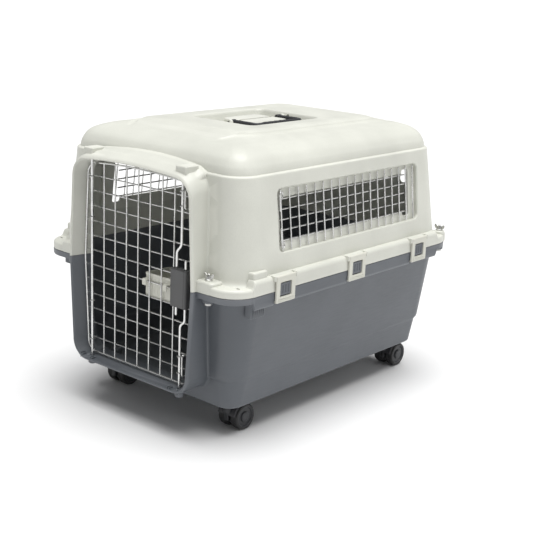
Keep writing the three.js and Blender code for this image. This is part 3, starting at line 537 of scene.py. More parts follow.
def lower_shell():
    shell = loft("lower_shell_skin", lower_rings(0.0))
    flares = [band("band", sign, lower_band_section, BAND_HALF_LENGTH) for sign in (1, -1)]
    feet = []
    for x, y in BOLTS.values():
        feet.append(turned("foot", [(8.6, BOSS_BOTTOM_Z), (10, BOSS_BOTTOM_Z + 1.4), (10.6, RIM_Z - SEAM)], (x, y, 0)))
    for sign in (1, -1):
        ribs = soft_box("rib", side(sign, (232, 248)), (-285, -249), (246, RIM_Z - 6), 3, 0, 2)
        notches = [box("notch", side(sign, (245.6, 256)), (5.2 * k - 281.0, 5.2 * k - 279.2), (240, 262))
                   for k in range(6)]
        feet.append(cut(ribs, *notches))
    joined(shell, portal_block("portal"), lower_flange("flange"), *flares, *feet)
    cut(shell, *hook_notches())
    common(shell, below_seam("half"))
    cut(shell, loft("hollow", lower_rings(WALL)), portal_hollow("portal_hollow"))
    ring = common(jamb("jamb"), below_seam("half"))
    sills = [turned("sill", [(6.2, 80), (8, 82), (8, SILL_Z)], (s * ROD_X, ROD_Y, 0)) for s in (1, -1)]
    sockets = [turned("seat", [(11, BASE_Z + 1), (11, 76), (9.6, 78)], (x, y, 0)) for x, y in CASTERS.values()]
    joined(shell, ring, *sills, *sockets, *catches())
    holes = [drilled("hole", x, y, 255, 300, 3.6) for x, y in BOLTS.values()]
    holes += [drilled("seat_hole", x, y, BASE_Z - 1, 74, 6.1) for x, y in CASTERS.values()]
    holes += [soft_box("tie", side(s, (229.0, 237.0)), (-306.2, -301.8), (250, 290), 2) for s in (1, -1)]
    holes += [drilled("pin", -ROD_X, ROD_Y, SILL_Z - 12, 120, 3.7),
              soft_box("keeper", (ROD_X - 4, ROD_X + 4), (ROD_Y - 4, ROD_Y + 4), (SILL_Z - 12, 120), 1)]
    cut(shell, tunnel("way_in"), *holes)
    return joined(shell, *sill_ribs())


def hook_notches():
    """Room for the hooks of the side clips in the lower bands."""
    notches = []
    for sign in (1, -1):
        for y in CLIP_Y.values():
            ys = (y - CLIP_HALF - 1, y + CLIP_HALF + 1)
            zs = (RIM_Z - LOWER_BAND - 1, CLIP_BOTTOM_Z + 4.4)
            notches.append(box("notch", side(sign, (247.2, 260.0)), ys, zs))
    return notches


def sill_ribs():
    """Short ribs moulded on the sill at each side of the two pins."""
    ribs = []
    for sign in (1, -1):
        for k in (-3, -2, 2, 3):
            x = sign * ROD_X + 5.2 * k
            lift = max(0.0, abs(x) - 122.0) * 0.28
            ribs.append(soft_box("rib", (x - 1.1, x + 1.1), (-341, -330), (92, 98.6 + lift), 1.0, 1.0))
    return ribs


# ---------------------------------------------------------------- upper shell
def cap_rows():
    """The roof's profile as fine rows of (rise above the ledge, inset), through the driving rows."""
    rows = []
    ends = [CAP[0]] + CAP + [CAP[-1]]
    for a, b, c, d in zip(ends, ends[1:], ends[2:], ends[3:]):
        for i in range(4):
            t = i / 4
            row = []
            for p, q, r, s in zip(a, b, c, d):
                row.append(0.5 * (2 * q + (r - p) * t + (2 * p - 5 * q + 4 * r - s) * t * t + (3 * q - p - 3 * r + s) * t ** 3))
            rows.append(tuple(row))
    return rows + [CAP[-1]]


def upper_rings(inset):
    rings = []
    flare = [(0.0, 9.0), (0.6, 6.0), (2.0, 3.6), (4.5, 1.6), (8.0, 0.4), (12.0, 0.0)] if not inset else []
    start = RIM_Z + FLANGE_THICK - 1
    top = LEDGE_Z - 4
    if inset:
        rings.append(plan_ring(RIM_PLAN, RIM_Z - 6, inset))
    else:
        rings.append(plan_ring(RIM_PLAN, RIM_Z - 2, 0.0))
        rings.append(plan_ring(RIM_PLAN, start - 1, -8.0))
    for rise, out in flare:
        z = start + rise
        rings.append(plan_ring(mix_plan(RIM_PLAN, LEDGE_PLAN, (z - RIM_Z) / (top - RIM_Z)), z, -out))
    for t in (0.22, 0.36, 0.5, 0.64, 0.78, 0.9, 0.975):
        z = mix(RIM_Z, top, t)
        rings.append(plan_ring(mix_plan(RIM_PLAN, LEDGE_PLAN, t), z - inset * 0.2, inset))
    for z, out in ((top + 0.6, 0.0), (top + 2.2, 0.3), (top + 3.4, 1.2), (top + 4.0, 2.6), (top + 4.3, 4.6)):
        rings.append(plan_ring(LEDGE_PLAN, z - inset, inset + out))
    for rise, cap_inset in cap_rows():
        rings.append(plan_ring(LEDGE_PLAN, LEDGE_Z + 1 + rise - inset, inset + cap_inset))
    return rings


def upper_flange(name):
    z1 = RIM_Z + FLANGE_THICK
    rows = [(RIM_Z + SEAM, 0.7), (RIM_Z + 1.0, 0.0)]
    for i in range(7):
        a = math.radians(90 * i / 6)
        rows.append((z1 - 5.5 * (1 - math.sin(a)), 5.5 * (1 - math.cos(a))))
    return loft(name, [plan_ring(FLANGE_PLAN, z, i) for z, i in rows])


def brow_outline(inset, lift):
    """(x, z) outline of the arch over the portal."""
    half = 146.0 - inset
    right = [(half, 470.0 + inset)]
    right += arc(half - 9, 489.0 - inset + lift - 9, 9, 0, 6, 70)
    right += [(half * t, 503.0 + lift - inset - 11.5 * t * t) for t in (0.86, 0.74, 0.6, 0.45, 0.3, 0.15)]
    left = [(-x, z) for x, z in reversed(right)]
    return right + [(0.0, 503.0 + lift - inset)] + left


def brow(name, inset=0.0):
    """The arch over the portal: its face slopes up from the front to a ridge, then runs level to the cap."""
    rings = []
    if inset:
        rings.append([(x, -326.0, z) for x, z in brow_outline(inset, -12.0)])
    else:
        for i in range(5):
            a = math.radians(90 * i / 4)
            outline = brow_outline(3 * (1 - math.sin(a)), -12.0)
            rings.append([(x, -330 + 3 * (1 - math.cos(a)), z) for x, z in outline])
    for y, lift in ((-306.0, -1.6), (-304.4, -0.4), (-303.0, 0.0), (-301.0, 0.2), (-272.0, 0.4)):
        rings.append([(x, y, z) for x, z in brow_outline(inset, lift)])
    return loft(name, rings)


def wall_point(sign, depth, y, up):
    """A point measured from the leaning side wall: depth inwards, y along, up along the slope."""
    c, s = math.cos(WALL_LEAN), math.sin(WALL_LEAN)
    return (sign * (WINDOW_FACE_X - depth * c - up * s), y, WINDOW_Z - depth * s + up * c)


def wall_cutter(name, sign, rows, ys, half_height, corner):
    """A cutter through the side wall; rows are (depth, how much the outline grows)."""
    rings = []
    for depth, grow in rows:
        outline = rounded_rect(ys, (-half_height, half_height), corner, -grow)
        rings.append([wall_point(sign, depth, y, up) for y, up in outline])
    return loft(name, rings)


def window_spans(sign):
    """Y spans of the open area and of the taller slot at its end."""
    y0, y1 = WINDOW_Y
    tail = WINDOW_CLOSED + WINDOW_SLOT
    if sign > 0:
        return (y0 + WINDOW_PLAIN, y1 - tail), (y1 - tail - 1, y1 - WINDOW_CLOSED)
    return (y0 + tail, y1 - WINDOW_PLAIN), (y0 + WINDOW_CLOSED, y0 + tail + 1)


def window_cuts(sign):
    opening, slot = window_spans(sign)
    soft = [(-6.0, 2.4), (-0.6, 2.4)] + [(2.4 * math.sin(math.radians(a)) - 0.6, 2.4 * (1 - math.sin(math.radians(a))) * 1.0)
                                        for a in (20, 45, 70, 90)]
    recess = wall_cutter("recess", sign, soft + [(WINDOW_DEPTH, 0.0)], WINDOW_Y, WINDOW_HEIGHT / 2, 11)
    through = [(-6.0, 1.2), (WINDOW_DEPTH, 1.2), (WINDOW_DEPTH + 0.5, 0.4), (WINDOW_DEPTH + 1.3, 0.0), (30, 0.0)]
    light = wall_cutter("opening", sign, through, opening, WINDOW_OPEN / 2, 4)
    tall = wall_cutter("slot", sign, through, slot, WINDOW_OPEN / 2 + 8, 5)
    return [recess, light, tall]


def window_frame(sign):
    ys = (WINDOW_Y[0] - 6, WINDOW_Y[1] + 6)
    return wall_cutter("frame", sign, [(1.0, 0.0), (WINDOW_DEPTH + WALL, 0.0)], ys, WINDOW_HEIGHT / 2 + 6, 14)


def rear_wall(z):
    return mix(RIM_PLAN[2], LEDGE_PLAN[2], (z - RIM_Z) / (LEDGE_Z - 4 - RIM_Z))


def vents():
    """Upright round-ended slots through the rear wall, with eased edges."""
    slots = []
    for k in range(7):
        x = (k - 3) * 46.0
        rings = []
        for out, grow in ((10, 1.8), (0.4, 1.8), (-0.6, 0.7), (-2.0, 0.0), (-60, 0.0)):
            outline = rounded_rect((x - 8, x + 8), (396, 454), 7.9, -grow)
            rings.append([(px, rear_wall(pz) + out, pz) for px, pz in outline])
        slots.append(loft("vent", rings))
    return slots


def handle_pocket():
    """The dished recess in the roof: floor outline, then sloping sides up to its rim."""
    levels = [(524.0, (-68, 76), (-95, 80), 10), (526.0, (-70, 78.5), (-98, 81.5), 11),
              (540.0, (-75, 84), (-112, 86), 14), (543.5, (-77, 86), (-117, 87.5), 15),
              (546.0, (-81, 90), (-122, 91), 17), (552.0, (-82, 91), (-123, 92), 17)]
    return loft("pocket", [[(x, y, z) for x, y in rounded_rect(xs, ys, r)] for z, xs, ys, r in levels])


def roof_grooves(shell):
    """Long shallow round-bottomed grooves each side of the roof's middle panel, laid on its surface."""
    cuts = []
    route = [(104, -246), (117, -228), (128, -205), (135, -175), (138, -140), (138, -60), (138, 20), (138, 100),
             (138, 180), (137, 222), (133, 250), (129, 264)]
    radius = 12.0
    for sign in (1, -1):
        path = []
        for k, (x, y) in enumerate(route):
            hit, place, normal, _ = shell.ray_cast(Vector((sign * x * MM, y * MM, 1.0)), Vector((0, 0, -1)))
            depth = 0.2 if k in (0, len(route) - 1) else 2.6
            path.append(place / MM + normal * (radius - depth))
        cuts.append(wire("groove", path, radius, 28))
    return cuts


def handle_lugs():
    lugs = []
    for y0, y1 in ((HANDLE["y"][0] - 14, HANDLE["y"][0] - 6.5), (HANDLE["y"][1] + 6.5, HANDLE["y"][1] + 14)):
        outline = [(-8.5, 522.0), (8.5, 522.0), (6.8, 536.0)] + arc(0, 538.0, 6.6, 0, 12, 180) + [(-6.8, 536.0)]
        rows = [(y0, 1.0), (y0 + 0.9, 0.0), (y1 - 0.9, 0.0), (y1, 1.0)]
        rings = []
        for y, pull in rows:
            k = 1 - pull / 9.0
            rings.append([(HANDLE["pivot"] + x * k, y, 530.0 + (z - 530.0) * k) for x, z in outline])
        lugs.append(loft("lug", rings))
    return lugs


def flange_bosses():
    bosses = []
    for sign in (1, -1):
        bosses.append(soft_box("boss", side(sign, (150, 200)), (-333, -300), (RIM_Z + SEAM, BOSS_TOP_Z), 8, 4))
        bosses.append(soft_box("block", side(sign, (230, 247)), (-280, -244), (RIM_Z + 10, 327), 4.0, 3.0))
        bosses.append(soft_box("head", side(sign, (107, 132)), (-333.0, -300), (480, 498), 3.0, 2.2))
    for x, y in BOLTS.values():
        if y > 0:
            bosses.append(turned("rear_boss", [(13.2, RIM_Z + SEAM), (12.4, 300), (12, 303.6),
                                               (11.2, 306.4), (9.4, BOSS_TOP_Z)], (x, y, 0)))
    return bosses


def clip_lugs():
    lugs = []
    for sign in (1, -1):
        for y in CLIP_Y.values():
            for end in (-1, 1):
                a = y + end * (CLIP_HALF + 0.7)
                b = a + end * 4.3
                ys = (min(a, b), max(a, b))
                lugs.append(soft_box("lug", side(sign, (240.0, 258.8)), ys,
                                     (CLIP_PIVOT[1] - 6.5, CLIP_PIVOT[1] + 3.2), 1.4, 1.4, 1.2))
    return lugs


def upper_shell():
    shell = loft("upper_shell_skin", upper_rings(0.0))
    bands = [band("band", sign, upper_band_section, BAND_HALF_LENGTH) for sign in (1, -1)]
    joined(shell, portal_block("portal"), brow("brow"), upper_flange("flange"), *bands, *flange_bosses(), *clip_lugs())
    common(shell, above_seam("half"))
    cut(shell, *roof_grooves(shell))
    cut(shell, loft("hollow", upper_rings(WALL)), portal_hollow("portal_hollow"), brow("brow_hollow", WALL))
    ring = common(jamb("jamb"), above_seam("half"))
    heads = [soft_box("head", side(s, (107, 132)), (-333, -308), (474, 497.5), 3.0, 2.0) for s in (1, -1)]
    tray = soft_box("tray", (-85, 91), (-126, 95), (520, 542.5), 18)
    joined(shell, ring, window_frame(1), window_frame(-1), tray, *heads)
    holes = [drilled("hole", x, y, 280, 320, 3.6) for x, y in BOLTS.values()]
    holes += [soft_box("tie", side(s, (229.0, 237.0)), (-306.2, -301.8), (280, 306), 2) for s in (1, -1)]
    holes += [drilled("pin", -ROD_X, ROD_Y, 460, 490, 3.7),
              soft_box("keeper", (ROD_X - 4, ROD_X + 4), (ROD_Y - 4, ROD_Y + 4), (460, 490), 1)]
    cut(shell, tunnel("way_in"), *holes, *window_cuts(1), *window_cuts(-1), *vents(), handle_pocket())
    block = soft_box("block", (-45, 45), (-60, 40), (523, 541), 13, 4.5)
    joined(shell, block, *handle_lugs())
    pins = turned("pins", [(3.7, -120), (3.7, 100)], (HANDLE["pivot"], 0, HANDLE["z"]), "Y")
    return cut(shell, pins)


# ---------------------------------------------------------------- wire grilles
def crossings(outline, axis, value):
    """Where a closed outline crosses a line: the lowest and highest of its other coordinate."""
    found = []
    for a, b in zip(outline, outline[1:] + outline[:1]):
        if (a[axis] - value) * (b[axis] - value) <= 0 and a[axis] != b[axis]:
            t = (value - a[axis]) / (b[axis] - a[axis])
            found.append(mix(a[1 - axis], b[1 - axis], t))
    return min(found), max(found)


def door_wires():
    outline = portal_outline((17.5, 23.5, GRID_FIRST_Z - PORTAL_BOTTOM), 8)
    wires = [wire("edge", [(x, -316.6, z) for x, z in outline], 1.7, 10, closed=True)]
    for column in range(-3, 4):
        x = column * PITCH_X
        low, high = crossings(outline, 0, x)
        wires.append(wire("upright", [(x, UPRIGHT_Y, low), (x, UPRIGHT_Y, high)], WIRE_R))
    for row in range(1, GRID_ROWS):
        z = GRID_FIRST_Z + row * PITCH_Z
        low, high = crossings(outline, 1, z)
        wires.append(wire("cross", [(low, CROSS_Y, z), (high, CROSS_Y, z)], WIRE_R))
    for z in (130.0, 206.0, 368.0, 444.0):
        wires.append(eye(-ROD_X, z))
    for z0, z1 in ((121.0, 160.0), (424.0, 458.0)):
        loop = [(130.0, -317.0, z0), (127.5, -327.5, z0), (127.5, -327.5, z1), (130.0, -317.0, z1)]
        wires.append(wire("keeper", bent(loop, 4), 1.5, 10))
        wires += [eye(ROD_X, z0 + 4), eye(ROD_X, z1 - 4)]
    return merged("door_wires", wires)


def eye(x, z):
    """A round eye on the door that a rod passes through."""
    profile = [(4.6 + 1.1 * math.cos(a), z + 1.1 * math.sin(a)) for a in (math.pi * k / 4 for k in range(8))]
    return hoop("eye", profile, (x, ROD_Y, 0), "Z", 20)


def window_wires(name, sign):
    y0, y1 = WINDOW_Y
    middle = (y0 + y1) / 2
    opening, _ = window_spans(sign)
    count = int((y1 - y0 - 10) / WINDOW_PITCH)
    reach = WINDOW_HEIGHT / 2 - 3
    wires = []
    for k in range(count + 1):
        y = middle + (k - count / 2) * WINDOW_PITCH
        ends = [wall_point(sign, 3.7, y, -reach), wall_point(sign, 3.7, y, reach)]
        wires.append(wire("upright", ends, 1.45, 10))
    for row in (-2, -1, 0, 1, 2):
        up = row * WINDOW_ROW_PITCH
        ends = [wall_point(sign, 6.3, opening[0] - 3, up), wall_point(sign, 6.3, opening[1] + 3, up)]
        wires.append(wire("cross", ends, 1.45, 10))
    curl_y = y0 + 9.2 if sign > 0 else y1 - 9.2
    turn = 1 if sign > 0 else -1
    for end in (1, -1):
        ring = []
        for k in range(15):
            a = math.radians(-90 + 22 * k)
            ring.append(wall_point(sign, 3.6, curl_y + turn * 4.2 * math.sin(a) + turn * 4.2, end * (44 + 5.2 * math.cos(a))))
        wires.append(wire("curl", [wall_point(sign, 3.6, curl_y, end * 16)] + ring, 1.3, 10))
    return merged(name, wires)


# ---------------------------------------------------------------- door fittings
def rod(name, points):
    return wire(name, bent([(x, ROD_Y, z) for x, z in points], 5, 8), ROD_R, 18)


def collared(name, points, x, z0):
    collar = turned("collar", [(3.2, z0), (4.0, z0 + 0.5), (4.0, z0 + 2.5), (3.2, z0 + 3)], (x, ROD_Y, 0))
    return merged(name, [rod("rod", points), collar])


def coil(name, x, z0, z1):
    turns = 11
    path = []
    for k in range(turns * 14 + 1):
        a = 2 * math.pi * k / 14
        t = k / (turns * 14)
        path.append((x + 3.3 * math.cos(a), ROD_Y + 3.3 * math.sin(a), mix(z0 + 0.8, z1 - 0.8, t)))
    return wire(name, path, 0.62, 6)


def latch_case():
    xs, ys, zs = HOUSING["x"], HOUSING["y"], HOUSING["z"]
    case = soft_box("latch_case", xs, ys, zs, 3.6, 2.6, 2.6)
    inside = box("inside", (xs[0] + 2.4, xs[1] - 2.4), (ys[0] + 2.6, ys[1] + 1), (zs[0] + 2.4, zs[1] - 2.4))
    notches = [box("notch", (x - 3.3, x + 3.3), (ROD_Y - 3.3, ys[1] + 1), (zs[0] - 1, zs[1] + 1))
               for x in (UPPER_ROD_LOW_X, LOWER_ROD_HIGH_X)]
    seam = box("seam", (xs[1] - 6.4, xs[1] - 5.8), (ys[0] - 1, ys[0] + 0.7), (zs[0] - 1, zs[1] + 1))
    return cut(case, inside, seam, *notches)


def latch_plate():
    xs, zs = HOUSING["x"], HOUSING["z"]
    levels = [(-320.1, 0.5), (-319.8, 0.0), (-319.0, 0.0), (-318.8, 0.4)]
    plate = loft("latch_plate", [[(x, y, z) for x, z in rounded_rect(xs, zs, 3.0, i)] for y, i in levels])
    holes = [turned("hole", [(1.6, -322), (1.6, -317)], (xs[0] + 6, 0, z), "Y", 16) for z in (zs[0] + 6, zs[1] - 6)]
    return cut(plate, *holes)


def rounded_poly(points, radius, steps=5):
    """A closed outline with its corners rounded."""
    ring = []
    for before, corner, after in zip(points[-1:] + points[:-1], points, points[1:] + points[:1]):
        c = Vector(corner)
        start = c + (Vector(before) - c).normalized() * radius
        end = c + (Vector(after) - c).normalized() * radius
        for i in range(steps + 1):
            t = i / steps
            ring.append(tuple((1 - t) ** 2 * start + 2 * t * (1 - t) * c + t * t * end))
    return ring


def bowl():
    (x0, x1), (y0, y1), (z0, z1) = BOWL["x"], BOWL["y"], BOWL["z"]

    def ring(z, inset):
        back = y1 - 10 * (1 - (z - z0) / (z1 - z0)) - inset
        plan = [(x0 + inset, y0 + inset), (x1 - inset, y0 + inset), (x1 - 6 - inset, back), (x0 + 6 + inset, back)]
        return [(x, y, z) for x, y in rounded_poly(plan, max(6 - inset, 2.0))]

    outer = loft("bowl", [ring(z, i) for z, i in edge_rows(z0, 3, -1)] + [ring(z1 - 5, 0.8), ring(z1 - 4.2, 0)]
                 + [ring(z, i) for z, i in edge_rows(z1, 0.9, 1)[::-1]])
    inner = loft("inner", [ring(z, 2.4 + i) for z, i in edge_rows(z0 + 2.5, 5, -1)]
                 + [ring(z1 - 1.6, 2.4), ring(z1 - 0.5, 2.0), ring(z1 + 0.6, 1.2)])
    cut(outer, inner)
    flutes = [soft_box("flute", (x - 2.4, x + 2.4), (y0 - 3, y0 + 0.9), (z0 + 6, z1 - 8), 0.8, 0.6, 0.6)
              for x in (x0 + 20 + 8 * k for k in range(5))]
    cut(outer, *flutes)
    low = GRID_FIRST_Z + 6 * PITCH_Z + 2.0
    hooks = []
    for x in (x0 + 3, x1 - 16):
        xs = (x, x + 10)
        tab = soft_box("tab", xs, (y0, y0 + 2.4), (z0 + 6, low + 3), 1.0)
        tongue = soft_box("tongue", xs, (-323.0, y0 + 2.4), (low, low + 3), 1.0, 0.8)
        lip = soft_box("lip", xs, (-323.0, -320.5), (low - 9, low + 2.4), 1.0, 0.5, 0.9)
        hooks += [tab, tongue, lip]
    return joined(outer, *hooks)


# ---------------------------------------------------------------- clips, bolts and handle
def side_clip(name, sign, y):
    half = CLIP_HALF
    top = CLIP_PIVOT[1]

    def slab(levels, ys, zs, corner):
        return loft("slab", [[(sign * x, py, pz) for py, pz in rounded_rect(ys, zs, corner, i)] for x, i in levels])

    clip = slab([(254.8, 0.5), (255.2, 0), (257.6, 0), (258.4, 0.35), (258.8, 1.1)],
                (y - half, y + half), (CLIP_BOTTOM_Z, top), 2.6)
    hook = soft_box("hook", side(sign, (248, 258.4)), (y - half + 1, y + half - 1), (CLIP_BOTTOM_Z, CLIP_BOTTOM_Z + 3.6), 1.4, 0.8, 1.2)
    barrel = turned("barrel", [(1.7, y - half - 4.2), (1.7, y - half), (2.2, y - half), (2.4, y - half + 0.6),
                               (2.4, y + half - 0.6), (2.2, y + half), (1.7, y + half), (1.7, y + half + 4.2)],
                    (sign * CLIP_PIVOT[0], 0, top), "Y", 24)
    ribs = [soft_box("rib", side(sign, (257.5, 259.6)), (y - half + 4, y + half - 4), (z, z + 1.7), 0.8, 0.8, 0.8)
            for z in (CLIP_BOTTOM_Z + 4.4, CLIP_BOTTOM_Z + 7.2)]
    joined(clip, hook, barrel, *ribs)
    window = slab([(250, 0), (258.0, 0), (259.0, -1.0), (262, -1.0)], (y - 15.3, y + 15.3), CLIP_WINDOW_Z, 2.4)
    cut(clip, window)
    clip.name = name
    return clip


def thread(z0, z1, radius, pitch=1.6):
    profile = []
    z = z0
    while z < z1 - pitch:
        profile += [(radius - 0.45, z), (radius, z + 0.35 * pitch), (radius, z + 0.55 * pitch)]
        z += pitch
    return profile + [(radius - 0.45, z1 - 0.6), (radius - 1.0, z1)]


def bolt(name, x, y):
    low = BOSS_BOTTOM_Z
    head = [(5.6, low - 4.3), (6.6, low - 4.0), (7.0, low - 3.2), (7.0, low - 0.8), (6.7, low - 0.3), (2.9, low - 0.3)]
    shank = turned(name, head + thread(low + 18, BOSS_TOP_Z + 12, 3.0), (x, y, 0))
    slot = box("slot", (x - 8, x + 8), (y - 0.7, y + 0.7), (low - 6, low - 2.8))
    return cut(shank, slot)


def wing_nut(name, x, y):
    z0 = BOSS_TOP_Z + 0.3
    profile = [(6.4, z0), (6.6, z0 + 0.5), (6.6, z0 + 1.6), (5.9, z0 + 2.2), (5.0, z0 + 7.2), (4.6, z0 + 8)]
    hub = turned(name, profile, (x, y, 0))
    wings = []
    for end in (1, -1):
        outline = [(2.5, 2.2), (6, 1.6), (9.0, 3), (11.6, 6), (12.2, 9), (11.6, 11.4), (10.2, 12.0), (8.8, 11.0),
                   (7.2, 8.8), (4, 7)]
        rings = [[(x + end * dx * k, y + dy, z0 + 7 + (dz - 7) * k) for dx, dz in outline]
                 for dy, k in ((-1.3, 0.9), (-1.0, 0.97), (-0.4, 1.0), (0.4, 1.0), (1.0, 0.97), (1.3, 0.9))]
        wings.append(loft("wing", rings))
    joined(hub, *wings)
    return cut(hub, drilled("bore", x, y, z0 - 1, z0 + 20, 3.3))


def bail():
    """The roof handle: two arms and a grip swept as one rounded bar, with pins at its ends."""
    y0, y1 = HANDLE["y"]
    z, px, gx = HANDLE["z"], HANDLE["pivot"], HANDLE["grip"]
    path = bent([(px, y0, z), (gx, y0, z), (gx, y1, z), (px, y1, z)], 13, 9)
    grip = [path[0], path[0] + Vector((30, 0, 0))] + path[1:-1] + [path[-1] + Vector((30, 0, 0)), path[-1]]
    extra = []
    for a, b in zip(grip, grip[1:]):
        steps = max(1, int((b - a).length / 4))
        extra += [a.lerp(b, i / steps) for i in range(steps)]
    stations = extra + [grip[-1]]
    rings = []
    for k, point in enumerate(stations):
        ahead = stations[min(k + 1, len(stations) - 1)] - stations[max(k - 1, 0)]
        across = Vector((0, 0, 1)).cross(ahead.normalized())
        inner = min(abs(point.y - y0), abs(point.y - y1))
        swell = 1.3 * min(1.0, max(0.0, (inner - 16) / 8)) if point.x > gx - 1 else 0.0
        ridge = 0.5 * math.sin(point.y * 0.55) ** 2 * (swell > 1.2)
        w, h = 4.9 + swell - ridge, 5.3 + swell * 0.8 - ridge
        ring = []
        for i in range(20):
            a = 2 * math.pi * i / 20
            c, s = math.cos(a), math.sin(a)
            power = 0.72
            dx = w * math.copysign(abs(c) ** power, c)
            dz = h * math.copysign(abs(s) ** power, s)
            ring.append(tuple(point + across * dx + Vector((0, 0, dz))))
        rings.append(ring)
    bar = loft("handle_bail", rings)
    ends = []
    for y, out in ((y0, -1), (y1, 1)):
        if out > 0:
            profile = [(5.2, y - 5.0), (5.9, y - 4.3), (5.9, y + 4.3), (5.2, y + 5.0),
                       (3.0, y + 5.05), (3.0, y + 12.4), (2.4, y + 13.0)]
        else:
            profile = [(2.4, y - 13.0), (3.0, y - 12.4), (3.0, y - 5.05), (5.2, y - 5.0),
                       (5.9, y - 4.3), (5.9, y + 4.3), (5.2, y + 5.0)]
        ends.append(turned("end", profile, (px, 0, z), "Y"))
    return joined(bar, *ends)


# ---------------------------------------------------------------- casters
def caster_fork(name, x, y):
    axle_y = y + TRAIL
    inner, outer = WHEEL_R + 1.8, WHEEL_R + 4.2

    def shell(r, grow):
        return turned("shell", [(r - 1.6, x - 21 - grow), (r, x - 19.4 - grow), (r, x + 19.4 + grow), (r - 1.6, x + 21 + grow)],
                      (0, axle_y, WHEEL_R), "X", 48)

    hood = cut(shell(outer, 0), turned("gap", [(inner, x - 30), (inner, x + 30)], (0, axle_y, WHEEL_R), "X", 48))
    common(hood, soft_box("keep", (x - 30, x + 30), (y - 14, axle_y + 14), (WHEEL_R + 6, BASE_Z - 1), 3))
    clear = turned("clear", [(WHEEL_R + 1.8, x - 31), (WHEEL_R + 1.8, x + 31)], (0, axle_y, WHEEL_R), "X", 48)
    web = turned("web", [(17.5, x - 5), (19, x - 4), (19, x + 4), (17.5, x + 5)], (0, axle_y, WHEEL_R), "X", 36)
    plate = soft_box("plate", (x - 5, x + 5), (y - 7, axle_y + 6), (WHEEL_R - 5, WHEEL_R + 27), 2)
    neck = cut(turned("neck", [(9.5, WHEEL_R + 10), (9.5, 56), (10.4, 58), (10.4, BASE_Z - 0.8)], (x, y, 0), "Z", 36),
               cut(clear, box("mid", (x - 5.6, x + 5.6), (y - 60, axle_y + 60), (-20, 90))))
    joined(hood, web, plate, neck)
    lip = hoop("lip", [(outer - 0.4, x + 17.6), (outer + 0.6, x + 17.6), (outer + 0.6, x + 19.8), (outer - 0.4, x + 19.8)],
               (0, axle_y, WHEEL_R), "X", 48)
    lip2 = hoop("lip", [(outer - 0.4, x - 19.8), (outer + 0.6, x - 19.8), (outer + 0.6, x - 17.6), (outer - 0.4, x - 17.6)],
                (0, axle_y, WHEEL_R), "X", 48)
    for rim in (lip, lip2):
        joined(hood, common(rim, box("keep", (x - 40, x + 40), (y - 13.6, axle_y + 13.6), (WHEEL_R + 7, BASE_Z - 1.5))))
    bore = turned("bore", [(3.5, x - 12), (3.5, x + 12)], (0, axle_y, WHEEL_R), "X", 24)
    cut(hood, bore, drilled("socket", x, y, BASE_Z - 14, BASE_Z + 2, 5.9))
    hood.name = name
    return hood


def tyre(name, middle, axle_y):
    profile = [(19.8, -8.2), (22.4, -8.5), (24.0, -7.6), (24.8, -5.8), (25.0, -3.4), (25.0, -1.0), (24.5, -0.6), (24.5, 0.6),
               (25.0, 1.0), (25.0, 3.4), (24.8, 5.8), (24.0, 7.6), (22.4, 8.5), (19.8, 8.2)]
    return hoop(name, [(r, middle + h) for r, h in profile], (0, axle_y, WHEEL_R), "X", 64)


def wheel_disc(name, middle, outward, axle_y):
    profile = [(3.4, -8.4), (7.5, -8.4), (8.6, -6.0), (17.6, -6.0), (18.8, -7.6), (20.0, -7.9), (20.0, 7.9), (18.8, 7.6),
               (17.6, 5.6), (10.2, 5.6), (9.4, 7.9), (8.4, 8.5), (3.4, 8.5)]
    disc = hoop("disc", [(r, middle + outward * h) for r, h in profile], (0, axle_y, WHEEL_R), "X", 64)
    cap = turned("cap", sorted([(8.3, middle + outward * 7.0), (8.3, middle + outward * 8.0), (6.4, middle + outward * 8.9)],
                               key=lambda row: row[1]), (0, axle_y, WHEEL_R), "X", 36)
    joined(disc, cap)
    disc.name = name
    return disc


# ---------------------------------------------------------------- materials
def shader(name):
    material = bpy.data.materials.new(name)
    material.use_nodes = True
    tree = material.node_tree
    surface = tree.nodes["Principled BSDF"]
    return material, tree, surface


def node(tree, kind, values=None, **links):
    made = tree.nodes.new(kind)
    for key, value in (values or {}).items():
        if key in made.inputs:
            made.inputs[key].default_value = value
        else:
            setattr(made, key, value)
    for key, source in links.items():
        tree.links.new(source, made.inputs[key.replace("_", " ")])
    return made


def blend_colours(tree, share, first, second):
    mixer = tree.nodes.new("ShaderNodeMix")
    mixer.data_type = "RGBA"
    tree.links.new(share, mixer.inputs["Factor"])
    for slot, colour in (("A", first), ("B", second)):
        socket = [s for s in mixer.inputs if s.name == slot and s.type == "RGBA"][0]
        if isinstance(colour, tuple):
            socket.default_value = colour + (1.0,)
        else:
            tree.links.new(colour, socket)
    return [s for s in mixer.outputs if s.type == "RGBA"][0]


def spread(tree, source, low, high, to_low=0.0, to_high=1.0):
    ramp = node(tree, "ShaderNodeMapRange", {"From Min": low, "From Max": high, "To Min": to_low, "To Max": to_high}, Value=source)
    return ramp.outputs["Result"]


